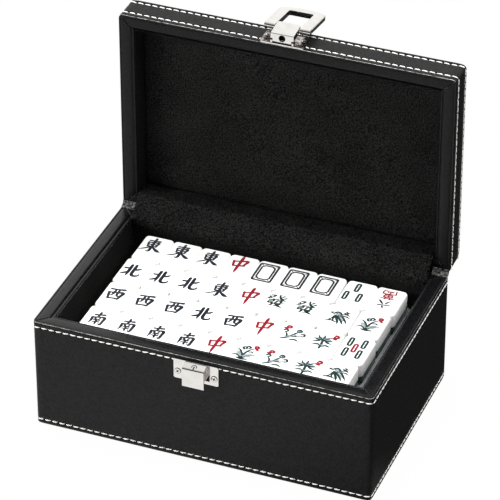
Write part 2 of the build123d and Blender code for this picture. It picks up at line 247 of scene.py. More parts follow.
# ---- materials -----------------------------------------------------------------------------
def shader(name, **sockets):
    """A material and its Principled shader, with sockets set by name (underscores for spaces)."""
    made = bpy.data.materials.new(name)
    made.use_nodes = True
    bsdf = made.node_tree.nodes["Principled BSDF"]
    for key, value in sockets.items():
        bsdf.inputs[key.replace("_", " ")].default_value = value
    return made, made.node_tree, bsdf


def texture(tree, kind, **sockets):
    """A texture node on object coordinates, with its sockets set by name."""
    node = tree.nodes.new(kind)
    for key, value in sockets.items():
        node.inputs[key].default_value = value
    place = tree.nodes.new("ShaderNodeTexCoord").outputs["Object"]
    tree.links.new(place, node.inputs["Vector"])
    return node


def noise(tree, scale, detail, rough=0.5):
    """The value of a noise texture."""
    return texture(tree, "ShaderNodeTexNoise", Scale=scale, Detail=detail, Roughness=rough).outputs["Fac"]


def cells(tree, scale):
    """A Voronoi texture's distance to the nearest point."""
    return texture(tree, "ShaderNodeTexVoronoi", Scale=scale).outputs["Distance"]


def tint(tree, bsdf, value, low, high, start=0.35, end=0.65):
    """Colour that runs from low to high as value goes from start to end."""
    ramp = tree.nodes.new("ShaderNodeValToRGB")
    ramp.color_ramp.elements[0].position, ramp.color_ramp.elements[1].position = start, end
    ramp.color_ramp.elements[0].color, ramp.color_ramp.elements[1].color = (*low, 1), (*high, 1)
    tree.links.new(value, ramp.inputs["Fac"])
    tree.links.new(ramp.outputs["Color"], bsdf.inputs["Base Color"])


def remap(tree, value, socket, low, high, start=0.3, end=0.7):
    """Links value to a socket, mapped from start..end to low..high."""
    node = tree.nodes.new("ShaderNodeMapRange")
    for key, number in (("From Min", start), ("From Max", end), ("To Min", low), ("To Max", high)):
        node.inputs[key].default_value = number
    tree.links.new(value, node.inputs["Value"])
    tree.links.new(node.outputs["Result"], socket)


def relief(tree, bsdf, heights, distance, strength):
    """Bump from weighted height textures: heights is a list of (texture value, weight)."""
    total = None
    for value, weight in heights:
        scaled = tree.nodes.new("ShaderNodeMath")
        scaled.operation = "MULTIPLY"
        scaled.inputs[1].default_value = weight
        tree.links.new(value, scaled.inputs[0])
        if total is None:
            total = scaled.outputs[0]
            continue
        added = tree.nodes.new("ShaderNodeMath")
        tree.links.new(total, added.inputs[0])
        tree.links.new(scaled.outputs[0], added.inputs[1])
        total = added.outputs[0]
    bump = tree.nodes.new("ShaderNodeBump")
    bump.inputs["Strength"].default_value = strength
    bump.inputs["Distance"].default_value = distance
    tree.links.new(total, bump.inputs["Height"])
    tree.links.new(bump.outputs["Normal"], bsdf.inputs["Normal"])


def leather(name, low, high, rough, gloss):
    """Leatherette: near-black, pebbled with half-millimetre cells, slightly uneven in gloss."""
    made, tree, bsdf = shader(name, Specular_IOR_Level=gloss)
    tint(tree, bsdf, noise(tree, 800, 3, 0.6), low, high, 0.38, 0.62)
    remap(tree, noise(tree, 520, 5), bsdf.inputs["Roughness"], rough - 0.08, rough + 0.10)
    relief(tree, bsdf, [(cells(tree, 1500), 0.6), (noise(tree, 2600, 4), 0.5), (noise(tree, 90, 2), 1.5)],
           0.00012, 0.5)
    return made


def suede(name, low, high, sheen):
    """Suede: matt, with a fine nap of lighter fibre ends, and broad brushed patches."""
    made, tree, bsdf = shader(name, Roughness=0.95, Specular_IOR_Level=0.1, Sheen_Weight=sheen,
                              Sheen_Roughness=0.45, Sheen_Tint=(0.75, 0.68, 0.64, 1))
    fine, broad = noise(tree, 900, 3, 0.65), noise(tree, 38, 4, 0.6)
    mixed = tree.nodes.new("ShaderNodeMix")
    mixed.inputs["Factor"].default_value = 0.12
    tree.links.new(fine, mixed.inputs["A"])
    tree.links.new(broad, mixed.inputs["B"])
    tint(tree, bsdf, mixed.outputs["Result"], low, high, 0.42, 0.66)
    relief(tree, bsdf, [(fine, 1.0), (noise(tree, 300, 3), 0.8)], 0.00025, 0.6)
    return made


def plain(name, low, high, scale, rough, rough_spread, bump=0.0, bump_scale=900, **sockets):
    """Plastic, metal, thread or board: a slightly uneven colour and gloss, with a fine relief."""
    made, tree, bsdf = shader(name, **sockets)
    tint(tree, bsdf, noise(tree, scale, 4), low, high)
    remap(tree, noise(tree, scale * 2.3, 4), bsdf.inputs["Roughness"],
          rough - rough_spread, rough + rough_spread)
    if bump:
        relief(tree, bsdf, [(noise(tree, bump_scale, 4), 1.0)], bump, 0.5)
    return made


def folded(name, low, high, scale):
    """Leatherette where it is folded: dark, with pale streaks for the backing and for painted glints."""
    return plain(name, low, high, scale, 0.34, 0.08, 0.0004, 900, Specular_IOR_Level=0.3)


def mark_paint(name, low, high, scale=700):
    """Thin matt paint filling the engraved marks."""
    return plain(name, low, high, scale, 0.5, 0.06, 0.00003, 900, Specular_IOR_Level=0.15)


LEATHER = leather("leatherette_black", (0.0030, 0.0030, 0.0032), (0.0092, 0.0092, 0.0098), 0.43, 0.175)
RIM_LEATHER = leather("leatherette_rim", (0.0018, 0.0018, 0.0020), (0.0052, 0.0052, 0.0058), 0.31, 0.42)
# the lid's rims: a rougher, less glossy copy of the rim leather that makes them darker than the body's rims:
# painted shade
LID_RIM_SHADED_LEATHER = leather("leatherette_lid_rim_shaded", (0.0026, 0.0026, 0.0028), (0.0080, 0.0080, 0.0086),
                          0.42, 0.16)
PIPING = leather("leatherette_piping", (0.0030, 0.0030, 0.0034), (0.0100, 0.0100, 0.0110), 0.26, 0.5)
# crumpled leatherette at the mitres and the hinge ends: its pale backing and painted glints
CRUMPLED_GLINTS = folded("leatherette_crumpled_glints", (0.004, 0.004, 0.004), (0.155, 0.152, 0.148), 620)
# a paler fold for the inner ends of the lid's mitres: backing and painted glints
CREASE_GLINT = folded("leatherette_crease_glint", (0.02, 0.02, 0.02), (0.62, 0.60, 0.58), 500)
SUEDE = suede("suede_black", (0.0004, 0.0004, 0.0004), (0.0230, 0.0220, 0.0216), 0.012)
# a darker copy of the suede for the lid's walls and the stay's leg on the lid: painted shade
SUEDE_SHADED = suede("suede_lid_painted_shade", (0.0003, 0.0003, 0.0003), (0.0160, 0.0154, 0.0150), 0.008)
FELT = suede("base_felt", (0.010, 0.010, 0.010), (0.030, 0.030, 0.030), 0.1)
THREAD = plain("thread_white", (0.70, 0.69, 0.65), (0.86, 0.85, 0.81), 900, 0.62, 0.08, 0.0002, 2500,
               Sheen_Weight=0.2)
# the pale cut edge along each rim: the backing's own grey, with bright grain for painted glints
CUT_EDGE_GLINTS = plain("cut_edge_grey_glints", (0.09, 0.09, 0.088), (0.58, 0.57, 0.55), 420, 0.6, 0.1, 0.0001, 1800)
NICKEL = plain("nickel_plate", (0.80, 0.775, 0.74), (0.86, 0.84, 0.81), 160, 0.13, 0.03, 0.00001, 500,
               Metallic=1.0)
# nickel mottled dark brown: painted reflections of the dark parts nearby
NICKEL_MOTTLED_REFLECTION = plain("nickel_mottled_reflection", (0.012, 0.007, 0.005), (0.62, 0.56, 0.52), 480, 0.2, 0.08,
                       Metallic=1.0)
# a darkened copy of the nickel for hollows and insides: painted shade
NICKEL_SHADED = plain("nickel_painted_shade", (0.030, 0.024, 0.019), (0.085, 0.068, 0.054), 300, 0.3, 0.05,
                    Metallic=1.0)
# black that stands for the shade in holes, recesses and grooves: painted shade
SHADE_BLACK = plain("painted_shade_black", (0.0010, 0.0010, 0.0010), (0.0035, 0.0035, 0.0035), 300, 0.8, 0.05,
                   0.00002, 900, Specular_IOR_Level=0.05)
TILE_WHITE = plain("tile_white", (0.83, 0.83, 0.81), (0.88, 0.88, 0.865), 120, 0.20, 0.04, 0.00002, 260)
TILE_GREEN = plain("tile_green", (0.002, 0.020, 0.011), (0.004, 0.034, 0.018), 90, 0.2, 0.04, 0.00002, 260)
INK_BLACK = mark_paint("ink_black", (0.006, 0.007, 0.011), (0.018, 0.020, 0.027))
INK_GREEN = mark_paint("ink_green", (0.004, 0.013, 0.013), (0.012, 0.032, 0.030))
INK_RED = mark_paint("ink_red", (0.155, 0.004, 0.011), (0.25, 0.010, 0.021))
INK_WASH = mark_paint("ink_wash", (0.17, 0.21, 0.22), (0.34, 0.39, 0.40), 420)
BOARD = plain("fibreboard", (0.30, 0.20, 0.12), (0.46, 0.34, 0.22), 500, 0.85, 0.05, 0.0002, 1200)
CLEAR = plain("clear_sheet", (0.50, 0.53, 0.56), (0.66, 0.69, 0.72), 60, 0.10, 0.04, 0.00005, 140,
              Alpha=0.24)


def use_material(node, material):
    """Gives a CAD node's own object a better material."""
    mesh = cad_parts[node].data
    mesh.materials.clear()
    mesh.materials.append(material)


# ---- covering of the lower box and the lid ---------------------------------------------------
CHANNEL_DEPTH, HOLE_DEPTH = 0.14, 0.30      # along a stitch line, and at its needle holes
CORNER_CREASE, UNEVEN = 0.22, 0.05          # down the upright corners, and everywhere
LID_CORNER_R, LID_FULLNESS = 3.85, 0.6      # at the lid's outer panel, and of its front wall
WALL_REACH = 1.5                            # how far in the profile still lies on the wall


def bell(distance, width):
    """1 at distance 0, falling to 0 over about two widths."""
    return np.exp(-(distance / width) ** 2)


def stitch_dents(s, z, lines):
    """How far the leather is pulled in at height z: a shallow channel along each stitch line,
    deeper at the needle holes, which lie where one stitch ends and the next begins."""
    pitch = ROUND / STITCHES
    to_hole = np.abs((s + pitch / 2) % pitch - pitch / 2)
    depth = np.zeros_like(s)
    for line in lines:
        channel, hole = bell(z - line, 0.9), bell(z - line, 0.75) * bell(to_hole, 0.9)
        depth += CHANNEL_DEPTH * channel + HOLE_DEPTH * hole
    return depth


def covering(name, profile, lines, seed, opened=False, close_end=False):
    """Leatherette stretched over a box: the profile goes round the case, pulled in along the
    stitch lines, creased down both edges of each upright corner, and slightly uneven. On the
    lid, the corners grow rounder and the front wall fuller beyond the upper stitch line."""
    s = np.arange(4 * STITCHES) * ROUND / (4 * STITCHES)
    sheet = case_sweep(profile, s)
    if opened:
        for j, (inset, z) in enumerate(profile):
            beyond = min(1.0, max(0.0, (z - LID_STITCH_Z[1] + 1.5) / 2.5))
            radius = LEAST_R + (LID_CORNER_R - LEAST_R) * beyond
            sheet[:, j, :2] = case_ring(s, inset, min(radius, 0.7 * (HALF_D - inset)))[0]
    _, normals = case_ring(s, 0)
    creases = [start + side * HALF_ARC for start in SIDE_START for side in (-1, 1)]
    to_crease = np.min([np.abs(s - crease) for crease in creases], 0)
    uneven = wander(sheet.reshape(-1, 3), 46, seed).reshape(sheet.shape[:2])
    for j, (inset, z) in enumerate(profile):
        pull = stitch_dents(s, z, lines) + CORNER_CREASE * bell(to_crease, 1.0) + UNEVEN * (uneven[:, j] + 1)
        if opened and z > LID_STITCH_Z[1]:
            share = min(1.0, (z - LID_STITCH_Z[1]) / 0.9)
            pull = pull - LID_FULLNESS * share * np.clip(-normals[:, 1], 0, 1)
        if inset < WALL_REACH:
            sheet[:, j, :2] -= normals * pull[:, None]
        elif inset > 6 and close_end:
            sheet[:, j, 2] -= 2 * UNEVEN * (uneven[:, j] + 1)
    rows, columns = sheet.shape[:2]
    faces = list(grid_faces(rows, columns, wrap_rows=True))
    if close_end:
        faces.append(grid_column(rows, columns, columns - 1))
    return case_piece(name, sheet, faces, LEATHER, opened)


def near(lines, reach):
    """Heights close together about each stitch line."""
    return [z for line in lines for z in np.arange(line - reach, line + reach + 0.01, 0.3)]


# (inset, distance from the rim's face) where the covering turns in over the boards' edges.
COVER_LIP = [(0.05, 0.8), (0.18, 0.55), (0.45, 0.4), (1.3, 0.38)]


def cover_body():
    """From the hem under the base up the walls and in over the top of the boards."""
    hem = [(14.0, 0.75), (14.0, 0.1), (13.7, 0.0), (8.0, 0.0), (1.2, 0.0), (0.5, 0.14), (0.14, 0.5),
           (0.0, 1.1)]
    heights = sorted(near(BODY_STITCH_Z, 1.6) + spaced(6, 80, 4.0) + [RIM_Z - 1.7, RIM_Z - 1.2])
    top = [(w, RIM_Z - below) for w, below in COVER_LIP]
    profile = hem + [(0.0, z) for z in heights] + top
    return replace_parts(covering("body_cover", profile, BODY_STITCH_Z, 3), "body_wrap")


def cover_lid():
    """From the boards' edge up the lid's walls, round a bend and in over its outer panel."""
    start = [(w, LID_RIM_Z + above) for w, above in COVER_LIP[::-1]]
    above_rim = (1.2, 1.9, 7.6, 9.6, 11.6, 13.6, 15.6)
    heights = near(LID_STITCH_Z, 1.5) + [LID_RIM_Z + above for above in above_rim]
    wall = [(0.0, z) for z in sorted(heights) if z < PADDED_TOP - LID_BEND]
    bend = [(w, PADDED_TOP - LID_BEND + rise) for rise, w in eased(LID_BEND, 7)]
    panel = [(w, PADDED_TOP) for w in (3.0, 4.5, 7, *np.arange(10, 79, 4.0))]
    cover = covering("lid_cover", start + wall + bend + panel, LID_STITCH_Z, 5, opened=True, close_end=True)
    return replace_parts(cover, "lid_wrap")


cover_body()
cover_lid()


def stitch_shape():
    """One stitch about the origin, along x, standing out along z, as a grid of t along it and a
    round it: a fat two-ply thread whose half width is that of an ellipse along its length,
    twisted so that its plies show as slanting waves, bowed so that both ends dive below the
    surface."""
    along, around = 9, 8
    t, a = np.meshgrid(np.linspace(-1, 1, along), np.arange(around) * 2 * pi / around, indexing="ij")
    size = np.maximum((1 - np.abs(t) ** 3.2) ** 0.5, 0.02)
    ply = 1 + 0.13 * np.cos(2 * a - 5.5 * t)
    points = np.stack([t * STITCH_L / 2 + 0.25 * np.sin(a) * size,
                       STITCH_W / 2 * size * ply * np.cos(a),
                       STITCH_H / 2 * size * ply * np.sin(a) + 0.16 - 0.50 * t ** 4], -1)
    return points.reshape(-1, 3), grid_faces(along, around, wrap_columns=True)


STITCH_TILT = (5.0, 1.4)                    # degrees from the line: the mean and its spread
STITCH_STRETCH, STITCH_SWELL = (0.96, 1.03), (0.92, 1.06)       # shares of its length and width


def stitch_rows(name, lines, opened):
    """A row of stitches round the case at each height: every stitch stretched a little along and
    across, tilted from the line, and set at its middle on the outline."""
    shape, faces = stitch_shape()
    random = np.random.default_rng(11)
    draws = np.array([(random.normal(*STITCH_TILT), random.uniform(*STITCH_STRETCH),
                       random.uniform(*STITCH_SWELL))
                      for _ in lines for _ in range(STITCHES)])
    middles, normals = case_ring((np.arange(STITCHES) + 0.5) * ROUND / STITCHES, 0.1)
    x, y = np.tile(middles, (len(lines), 1)).T[:, :, None]
    nx, ny = np.tile(normals, (len(lines), 1)).T[:, :, None]
    z = np.repeat(lines, STITCHES)[:, None]
    tilt = np.radians(draws[:, :1]) * np.where(z < BODY_H, 1, -1)
    length, width, out = shape[:, 0] * draws[:, 1:2], shape[:, 1] * draws[:, 2:], shape[:, 2]
    along = length * np.cos(tilt) - width * np.sin(tilt)
    up = length * np.sin(tilt) + width * np.cos(tilt)
    points = np.stack([x - ny * along + nx * out, y + nx * along + ny * out, z + up], -1)
    first = np.arange(len(draws))[:, None, None] * len(shape)
    return case_piece(name, points, (faces + first).reshape(-1, 4), THREAD, opened)


stitch_rows("body_stitches", BODY_STITCH_Z, False)
stitch_rows("lid_stitches", LID_STITCH_Z, True)


# ---- padded rims ---------------------------------------------------------------------------
GROOVE_FLOOR = -1.36            # between the crown and the piping
LID_RIM_NARROWER = 0.9
# Columns of faces across a rim: from the seam, the crown's inner slope, its foot, the piping, and
# the piping's turn down over the lining.
SEAM, SLOPE, FOOT, CORD, TURN = 5, 12, 17, 18, 24
# Numbers of a rim's materials.
PLAIN_FACE, CUT_GLINT_FACE, CORD_FACE, CRUMPLED_GLINT_FACE, SHADE_BLACK_FACE, CREASE_GLINT_FACE = range(6)


def rim_profile(narrow):
    """(inset, height above the rim's face) of a padded strip: a cut edge, a fine seam, a crown,
    a groove, and a thin piping below it that turns down over the lining. Its inner part lies
    narrow millimetres further out than the full width."""
    edge = [(0.22, -0.60), (0.24, -0.20), (0.45, -0.16), (1.0, -0.14), (1.45, -0.22), (1.65, -0.40),
            (1.85, -0.22)]
    crown = [(2.3, -0.12), (3.2, -0.03), (4.2, 0.0), (5.2, 0.0), (6.2, -0.02), (7.2, -0.05), (8.1, -0.11),
             (8.8, -0.20), (9.3, -0.42), (9.65, -0.8), (9.9, -1.2)]
    piping = [(10.2, GROOVE_FLOOR), (10.6, GROOVE_FLOOR), (10.85, -1.2), (11.1, -1.06), (11.4, -1.0),
              (11.7, -1.08), (12.0, -1.3), (12.25, -1.7), (12.38, -2.2), (12.3, -2.9), (12.0, -3.4),
              (11.5, -3.6)]
    return edge + [(w - narrow * max(0, w - 4.2) / 8.0, h) for w, h in crown + piping]


def rim_parts(rows, columns, side, opened):
    """The material of each face of a rim strip, row by row from mitre to mitre."""
    parts = np.full((rows, columns), PLAIN_FACE)
    if not opened:
        parts[:, 0] = CUT_GLINT_FACE
        parts[:, CORD:] = CORD_FACE
        # the body's mitre ends take the crumpled leather, pale with painted glints
        parts[[0, 1, 2, -3, -2, -1], FOOT:TURN] = CRUMPLED_GLINT_FACE
        return parts
    # the pale edge, partly a painted highlight, is left off the lid's right rim
    if side != 1:
        parts[:, 0] = CUT_GLINT_FACE
    # on the lid the groove and the piping are painted black: painted shade
    parts[:, CORD if side == 0 else TURN:] = SHADE_BLACK_FACE
    # the lid's mitre seams take the crumpled leather, pale with painted glints
    parts[[0, -1], SEAM:CORD] = CRUMPLED_GLINT_FACE
    parts[[0, 1, -2, -1], SLOPE:FOOT] = CREASE_GLINT_FACE     # the fold's inner end is pale: its backing and a painted glint
    return parts


def rim_strip(name, side, opened):
    """A side of the rim, from mitre to mitre: sunk along both mitre seams, with the leather
    gathered beside them."""
    profile = rim_profile(LID_RIM_NARROWER if opened else 0.0)
    start, end = SIDE_START[side], SIDE_START[side + 1]
    ends = np.array([0, 0.35, 0.8, 1.35, 2.0, 2.67, 3.0, 3.4, 4.0, 4.8, 6.0, 8.0, 10.5, 13.5])
    s = np.concatenate([start + ends, spaced(start + 17, end - 17, 3.0), end - ends[::-1]])
    s[-1] -= 1e-6               # still on this side
    sheet = case_sweep([(w, 0) for w, _ in profile], s)
    tangent = np.array(SIDE_FRAMES[side][0], float)
    for j, (w, h) in enumerate(profile):
        along = sheet[:, j, :2] @ tangent
        to_mitre = (HALF_W if side % 2 == 0 else HALF_D) - w - np.abs(along)
        sag = 0.55 * bell(to_mitre, 0.55) + 0.16 * bell(to_mitre - 2.2, 1.0) if w > 0.3 else 0
        at = np.column_stack([sheet[:, j, :2], np.full(len(s), 10.0 * side)])
        soft = 0.07 * (wander(at, 17, 21 + side) + 1) if 1 < w < 9 else 0
        height = np.maximum(h - sag - soft, GROOVE_FLOOR) if w < 11 else h
        sheet[:, j, 2] = LID_RIM_Z - height if opened else RIM_Z + height
    rows, columns = sheet.shape[:2]
    leathers = [LID_RIM_SHADED_LEATHER if opened else RIM_LEATHER, CUT_EDGE_GLINTS, PIPING, CRUMPLED_GLINTS, SHADE_BLACK, CREASE_GLINT]
    piece = case_piece(name, sheet, grid_faces(rows, columns, flip=opened), leathers, opened)
    paint_faces(piece, rim_parts(rows - 1, columns - 1, side, opened).ravel())
    return piece


for side, side_name in enumerate(SIDE_NAMES):
    for opened, prefix in ((False, "body"), (True, "lid")):
        strip = rim_strip(f"{prefix}_rim_pad_{side_name}", side, opened)
        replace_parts(strip, f"{prefix}_rim_{side_name}")


# ---- suede ---------------------------------------------------------------------------------
SUEDE_STEP = 2.7                # along the outline, from one row of points to the next
SUEDE_PLAY = 0.1                # clear of what lies above and below


def suede_walls(name, node, low, high, opened):
    """Suede on the four inner walls: a thin band, soft in the corners, with slow hollows."""
    s = np.arange(0, ROUND, SUEDE_STEP)
    face, back = WALL + 0.05, WALL - 0.65
    profile = [(back, low)] + [(face, z) for z in spaced(low, high, 3.0)] + [(back, high)]
    sheet = case_sweep(profile, s, least_r=1.6)
    _, normals = case_ring(s, 0)
    soft = 0.14 * wander(sheet.reshape(-1, 3), 15, 8).reshape(sheet.shape[:2])
    for j in range(1, len(profile) - 1):
        sheet[:, j, :2] -= normals * (soft[:, j] - 0.05)[:, None]
    faces = grid_faces(*sheet.shape[:2], wrap_rows=True, wrap_columns=True, flip=True)
    # the lid's walls take the darker suede: painted shade
    piece = case_piece(name, sheet, faces, SUEDE_SHADED if opened else SUEDE, opened)
    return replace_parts(piece, node)


low, high = (end_of("body_lining", end, Z) for end in (LOW, HIGH))
suede_walls("body_suede", "body_lining", low + SUEDE_PLAY, high - SUEDE_PLAY, False)
low, high = (closed_z(end_of("lid_lining", end, Y)) for end in (LOW, HIGH))
suede_walls("lid_suede", "lid_lining", low + SUEDE_PLAY, high - SUEDE_PLAY, True)


def suede_pad(name, node, face, back, edge, depth, opened, seed):
    """A padded panel between the heights of its face and back: rounded off over edge millimetres
    at its border, where it sinks by depth, with a slow unevenness of the padding on its face."""
    toward = 1 if face > back else -1
    border = WALL + 0.3
    rounding = [(border + edge * w, face - toward * depth * (1 - rise)) for rise, w in eased(1.0, 7)]
    field = [(w, face) for w in np.arange(border + edge + 2.5, HALF_D - 1, 3.0)]
    profile = [(border, back)] + rounding + field
    sheet = case_sweep(profile, np.arange(0, ROUND, SUEDE_STEP), least_r=1.2)
    soft = wander(sheet.reshape(-1, 3), 30, seed).reshape(sheet.shape[:2])
    sheet[:, 2:, 2] -= toward * 0.22 * (soft[:, 2:] + 1)
    rows, columns = sheet.shape[:2]
    faces = list(grid_faces(rows, columns, wrap_rows=True))
    faces += [grid_column(rows, columns, columns - 1), grid_column(rows, columns, 0)[::-1]]
    piece = case_piece(name, sheet, faces, SUEDE, opened)
    turn_outward(piece)
    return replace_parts(piece, node)


low, high = (closed_z(end_of("lid_pad", end, Y)) for end in (LOW, HIGH))
suede_pad("lid_padding", "lid_pad", low, high - SUEDE_PLAY, 4.0, 1.6, True, 9)
low, high = (end_of("floor_pad", end, Z) for end in (LOW, HIGH))
suede_pad("floor_padding", "floor_pad", high, low, 2.0, 0.5, False, 10)


def base_felt():
    """Felt let into the hem under the base: a thin plate with a soft edge, on the surface."""
    profile = [(14.3, 0.75), (14.25, 0.2), (14.6, 0.0), (20, 0.0), (40, 0.0), (60, 0.0), (78, 0.0)]
    sheet = case_sweep(profile, np.arange(0, ROUND, 4.0), least_r=0.8)
    rows, columns = sheet.shape[:2]
    faces = list(grid_faces(rows, columns, wrap_rows=True, flip=True))
    faces += [grid_column(rows, columns, columns - 1)[::-1], grid_column(rows, columns, 0)]
    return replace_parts(case_piece("base_felt_panel", sheet, faces, FELT, False), "base_sheet")


base_felt()


# ---- hinge ---------------------------------------------------------------------------------
def banded(name, line, thickness, half_x, material, unevenness, seed):
    """A band of cloth along X: a rounded line of (y, z) points given a thickness, with waves
    across it that fade at its two long edges."""
    line = np.array(line, float)
    for _ in range(3):          # corner cutting rounds the line
        cut = [line[0]]
        for a, b in zip(line[:-1], line[1:]):
            cut += [0.75 * a + 0.25 * b, 0.25 * a + 0.75 * b]
        line = np.array(cut + [line[-1]])
    step = np.gradient(line, axis=0)
    normal = np.column_stack([-step[:, 1], step[:, 0]]) / np.linalg.norm(step, axis=1)[:, None]
    loop = np.concatenate([line, (line + normal * thickness)[::-1]])
    away = np.concatenate([normal, normal[::-1]])
    fade = np.sin(np.linspace(0, pi, len(line)))
    fade = np.concatenate([fade, fade[::-1]])
    xs = np.array(spaced(-half_x, half_x, 2.0))
    verts = np.zeros((len(xs), len(loop), 3))
    verts[:, :, 0] = xs[:, None]
    verts[:, :, 1:] = loop[None]
    waves = wander(np.column_stack([np.repeat(xs, len(loop)), np.tile(loop * 0.6, (len(xs), 1))]), 12, seed)
    shift = (unevenness * waves.reshape(len(xs), len(loop)) * fade)[:, :, None]
    verts[:, :, 1:] += shift * away[None]
    faces = list(grid_faces(len(xs), len(loop), wrap_columns=True))
    count = len(loop)
    faces += [list(range(count)), [(len(xs) - 1) * count + i for i in range(count)][::-1]]
    piece = mesh_piece(name, verts, faces, material, None)
    turn_outward(piece)
    return piece


def mm(*values):
    """Millimetres as metres."""
    return tuple(v * 0.001 for v in values)


def hinge_stay():
    """The suede stay inside: glued down both linings and across the corner of the open lid. Its
    leg on the lid is in the lid's suede, darkened as painted shade."""
    inner_y, inner_z = HALF_D - WALL, BODY_H + WALL
    line = [(inner_y - 0.9, BODY_H - 6.5), (inner_y - 0.9, BODY_H - 3), (inner_y - 0.7, BODY_H + 0.2),
            (HALF_D - 0.4, inner_z + 0.9), (HALF_D + 3, inner_z + 1.0), (HALF_D + 6.8, inner_z + 1.0)]
    stay = banded("suede_stay", line, -0.8, HALF_W - WALL - 0.9, [SUEDE, SUEDE_SHADED], 0.16, 13)
    # faces on the lid take the darker suede: painted shade
    paint_faces(stay, [f.center.y * 1000 > HALF_D + 0.5 for f in stay.data.polygons])
    mm(0, inner_y, BODY_H)
    mm(0, HALF_D, inner_z)
    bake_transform(stay)
    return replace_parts(stay, "hinge_gusset")


def hinge_strip():
    """The leatherette hinge outside: down the back of the box and over the open lid's panel side."""
    y, z = HALF_D + 0.02, BODY_H - 0.05
    line = [(y, BODY_H - 12.9), (y, BODY_H - 6), (y, z), (HALF_D + 6, z), (HALF_D + 12.9, z)]
    strip = banded("leather_hinge", line, -0.72, HALF_W - CORNER_R - 0.2, LEATHER, 0.04, 14)
    mm(0, HALF_D, BODY_H - 1.2)
    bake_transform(strip)
    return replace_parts(strip, "hinge_skin")


def hinge_tuck(name, side, seed):
    """The covering gathered where the hinge ends: a crumpled fillet between the two rims."""
    reach, rows, columns = 3.6, 34, 16
    xs = side * np.linspace(HALF_W - WALL - 0.5, HALF_W - 0.15, rows)
    angles = np.linspace(-0.05, pi / 2 + 0.05, columns)
    y, z = HALF_D - reach + reach * np.sin(angles), BODY_H + reach - reach * np.cos(angles)
    points = np.zeros((rows, columns, 3))
    points[:, :, 0], points[:, :, 1], points[:, :, 2] = xs[:, None], y, z
    flat = points.reshape(-1, 3)
    creases = (0.34 * wander(flat, 3.2, seed) + 0.24 * wander(flat, 1.5, seed + 1)).reshape(rows, columns)
    creases = (creases + 0.1) * np.sin(np.linspace(0, pi, columns)) ** 0.5
    points[:, :, 1] -= creases * np.sin(angles)
    points[:, :, 2] += creases * np.cos(angles)
    under = points - np.stack([0 * y, -0.3 * np.sin(angles), 0.3 * np.cos(angles)], -1)[None]
    sheet = np.concatenate([points, under[:, ::-1]], 1)
    faces = list(grid_faces(rows, 2 * columns, wrap_columns=True, flip=side > 0))
    around = np.arange(2 * columns)
    ends = [around, around[::-1] + (rows - 1) * 2 * columns]
    faces += [end if side > 0 else end[::-1] for end in ends]
    # the tuck's pale streaks stand for its backing and for painted glints
    tuck = mesh_piece(name, sheet, faces, CRUMPLED_GLINTS, None)
    mm(0, HALF_D, BODY_H + reach)
    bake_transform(tuck)


hinge_stay()
hinge_strip()
hinge_tuck("hinge_tuck_left", -1, 31)
hinge_tuck("hinge_tuck_right", 1, 35)


# ---- latch ---------------------------------------------------------------------------------
def eased_copy(name, node, width, body, finish):
    """A copy of a CAD node with its sharp edges rounded by width, as plated metal has them. What
    finish gives for a face's centre in millimetres and normal is 0 for bright metal, 1 for metal
    darkened as painted shade, and 2 for metal mottled with painted dark reflections."""
    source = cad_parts[node]
    mesh = source.data.copy()
    mesh.name = name
    bm = bmesh.new()
    bm.from_mesh(mesh)
    bmesh.ops.remove_doubles(bm, verts=bm.verts, dist=1e-6)
    bmesh.ops.dissolve_limit(bm, angle_limit=radians(1.5), verts=bm.verts, edges=bm.edges)
    sharp = [e for e in bm.edges if len(e.link_faces) == 2 and e.calc_face_angle() > radians(28)]
    bmesh.ops.bevel(bm, geom=sharp, offset=width * 0.001, segments=2, profile=0.6, affect="EDGES",
                    clamp_overlap=True)
    bmesh.ops.recalc_face_normals(bm, faces=bm.faces)
    bm.to_mesh(mesh)
    bm.free()
    mesh.materials.clear()
    for metal in (NICKEL, NICKEL_SHADED, NICKEL_MOTTLED_REFLECTION):
        mesh.materials.append(metal)
    mesh.polygons.foreach_set("use_smooth", [True] * len(mesh.polygons))
    weighted = np.zeros((len(mesh.vertices), 3))
    for f in mesh.polygons:     # the large faces stay flat, and the narrow ones turn between them
        weighted[list(f.vertices)] += np.array(f.normal) * f.area
    weighted /= np.maximum(np.linalg.norm(weighted, axis=1), 1e-12)[:, None]
    mesh.normals_split_custom_set_from_vertices(weighted.tolist())
    piece = bpy.data.objects.new(name, mesh)
    bpy.context.collection.objects.link(piece)
    paint_faces(piece, [finish(f.center * 1000, f.normal) for f in mesh.polygons])
    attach(piece, body)
    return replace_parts(piece, node)


def strike_finish(centre, normal):
    """The hollow behind the hook's lip is darkened as painted shade, and the outer cheeks carry
    painted dark reflections.
    """
    faces_in = (normal.y > 0.7 and centre.y < -HALF_D - 3) or normal.z < -0.7
    if centre.z < BODY_H - 9 and faces_in:
        return 1
    return 2 * (abs(normal.x) > 0.9 and centre.y < -HALF_D - 0.95)


def base_finish(centre, normal):
    """The plate's face and the ears carry mottled painted dark reflections."""
    return 2 * (normal.z > 0.5 or abs(normal.x) > 0.5)


def lever_finish(centre, normal):
    """Darkened as painted shade under the lever's top, inside its front and cheeks, and in its
    finger hole.
    """
    x, y, z = centre.x - LATCH_X, centre.y - HALF_D, centre.z - HOLE_Z
    in_hole = abs(x) < 2.6 and y < 2.2 and abs(z) < 2.6 and normal.y > -0.9
    return normal.z < -0.3 or (normal.y > 0.5 and y < 6) or x * normal.x < -0.5 or in_hole


def loop_finish(centre, normal):
    """Bright all over."""
    return 0


eased_copy("strike_plated", "strike_hook", 0.16, "case", strike_finish)
eased_copy("latch_base_plated", "latch_base", 0.12, "lid", base_finish)
eased_copy("latch_lever_plated", "latch_lever", 0.14, "lever", lever_finish)
eased_copy("latch_loop_plated", "latch_loop", 0.22, "loop", loop_finish)


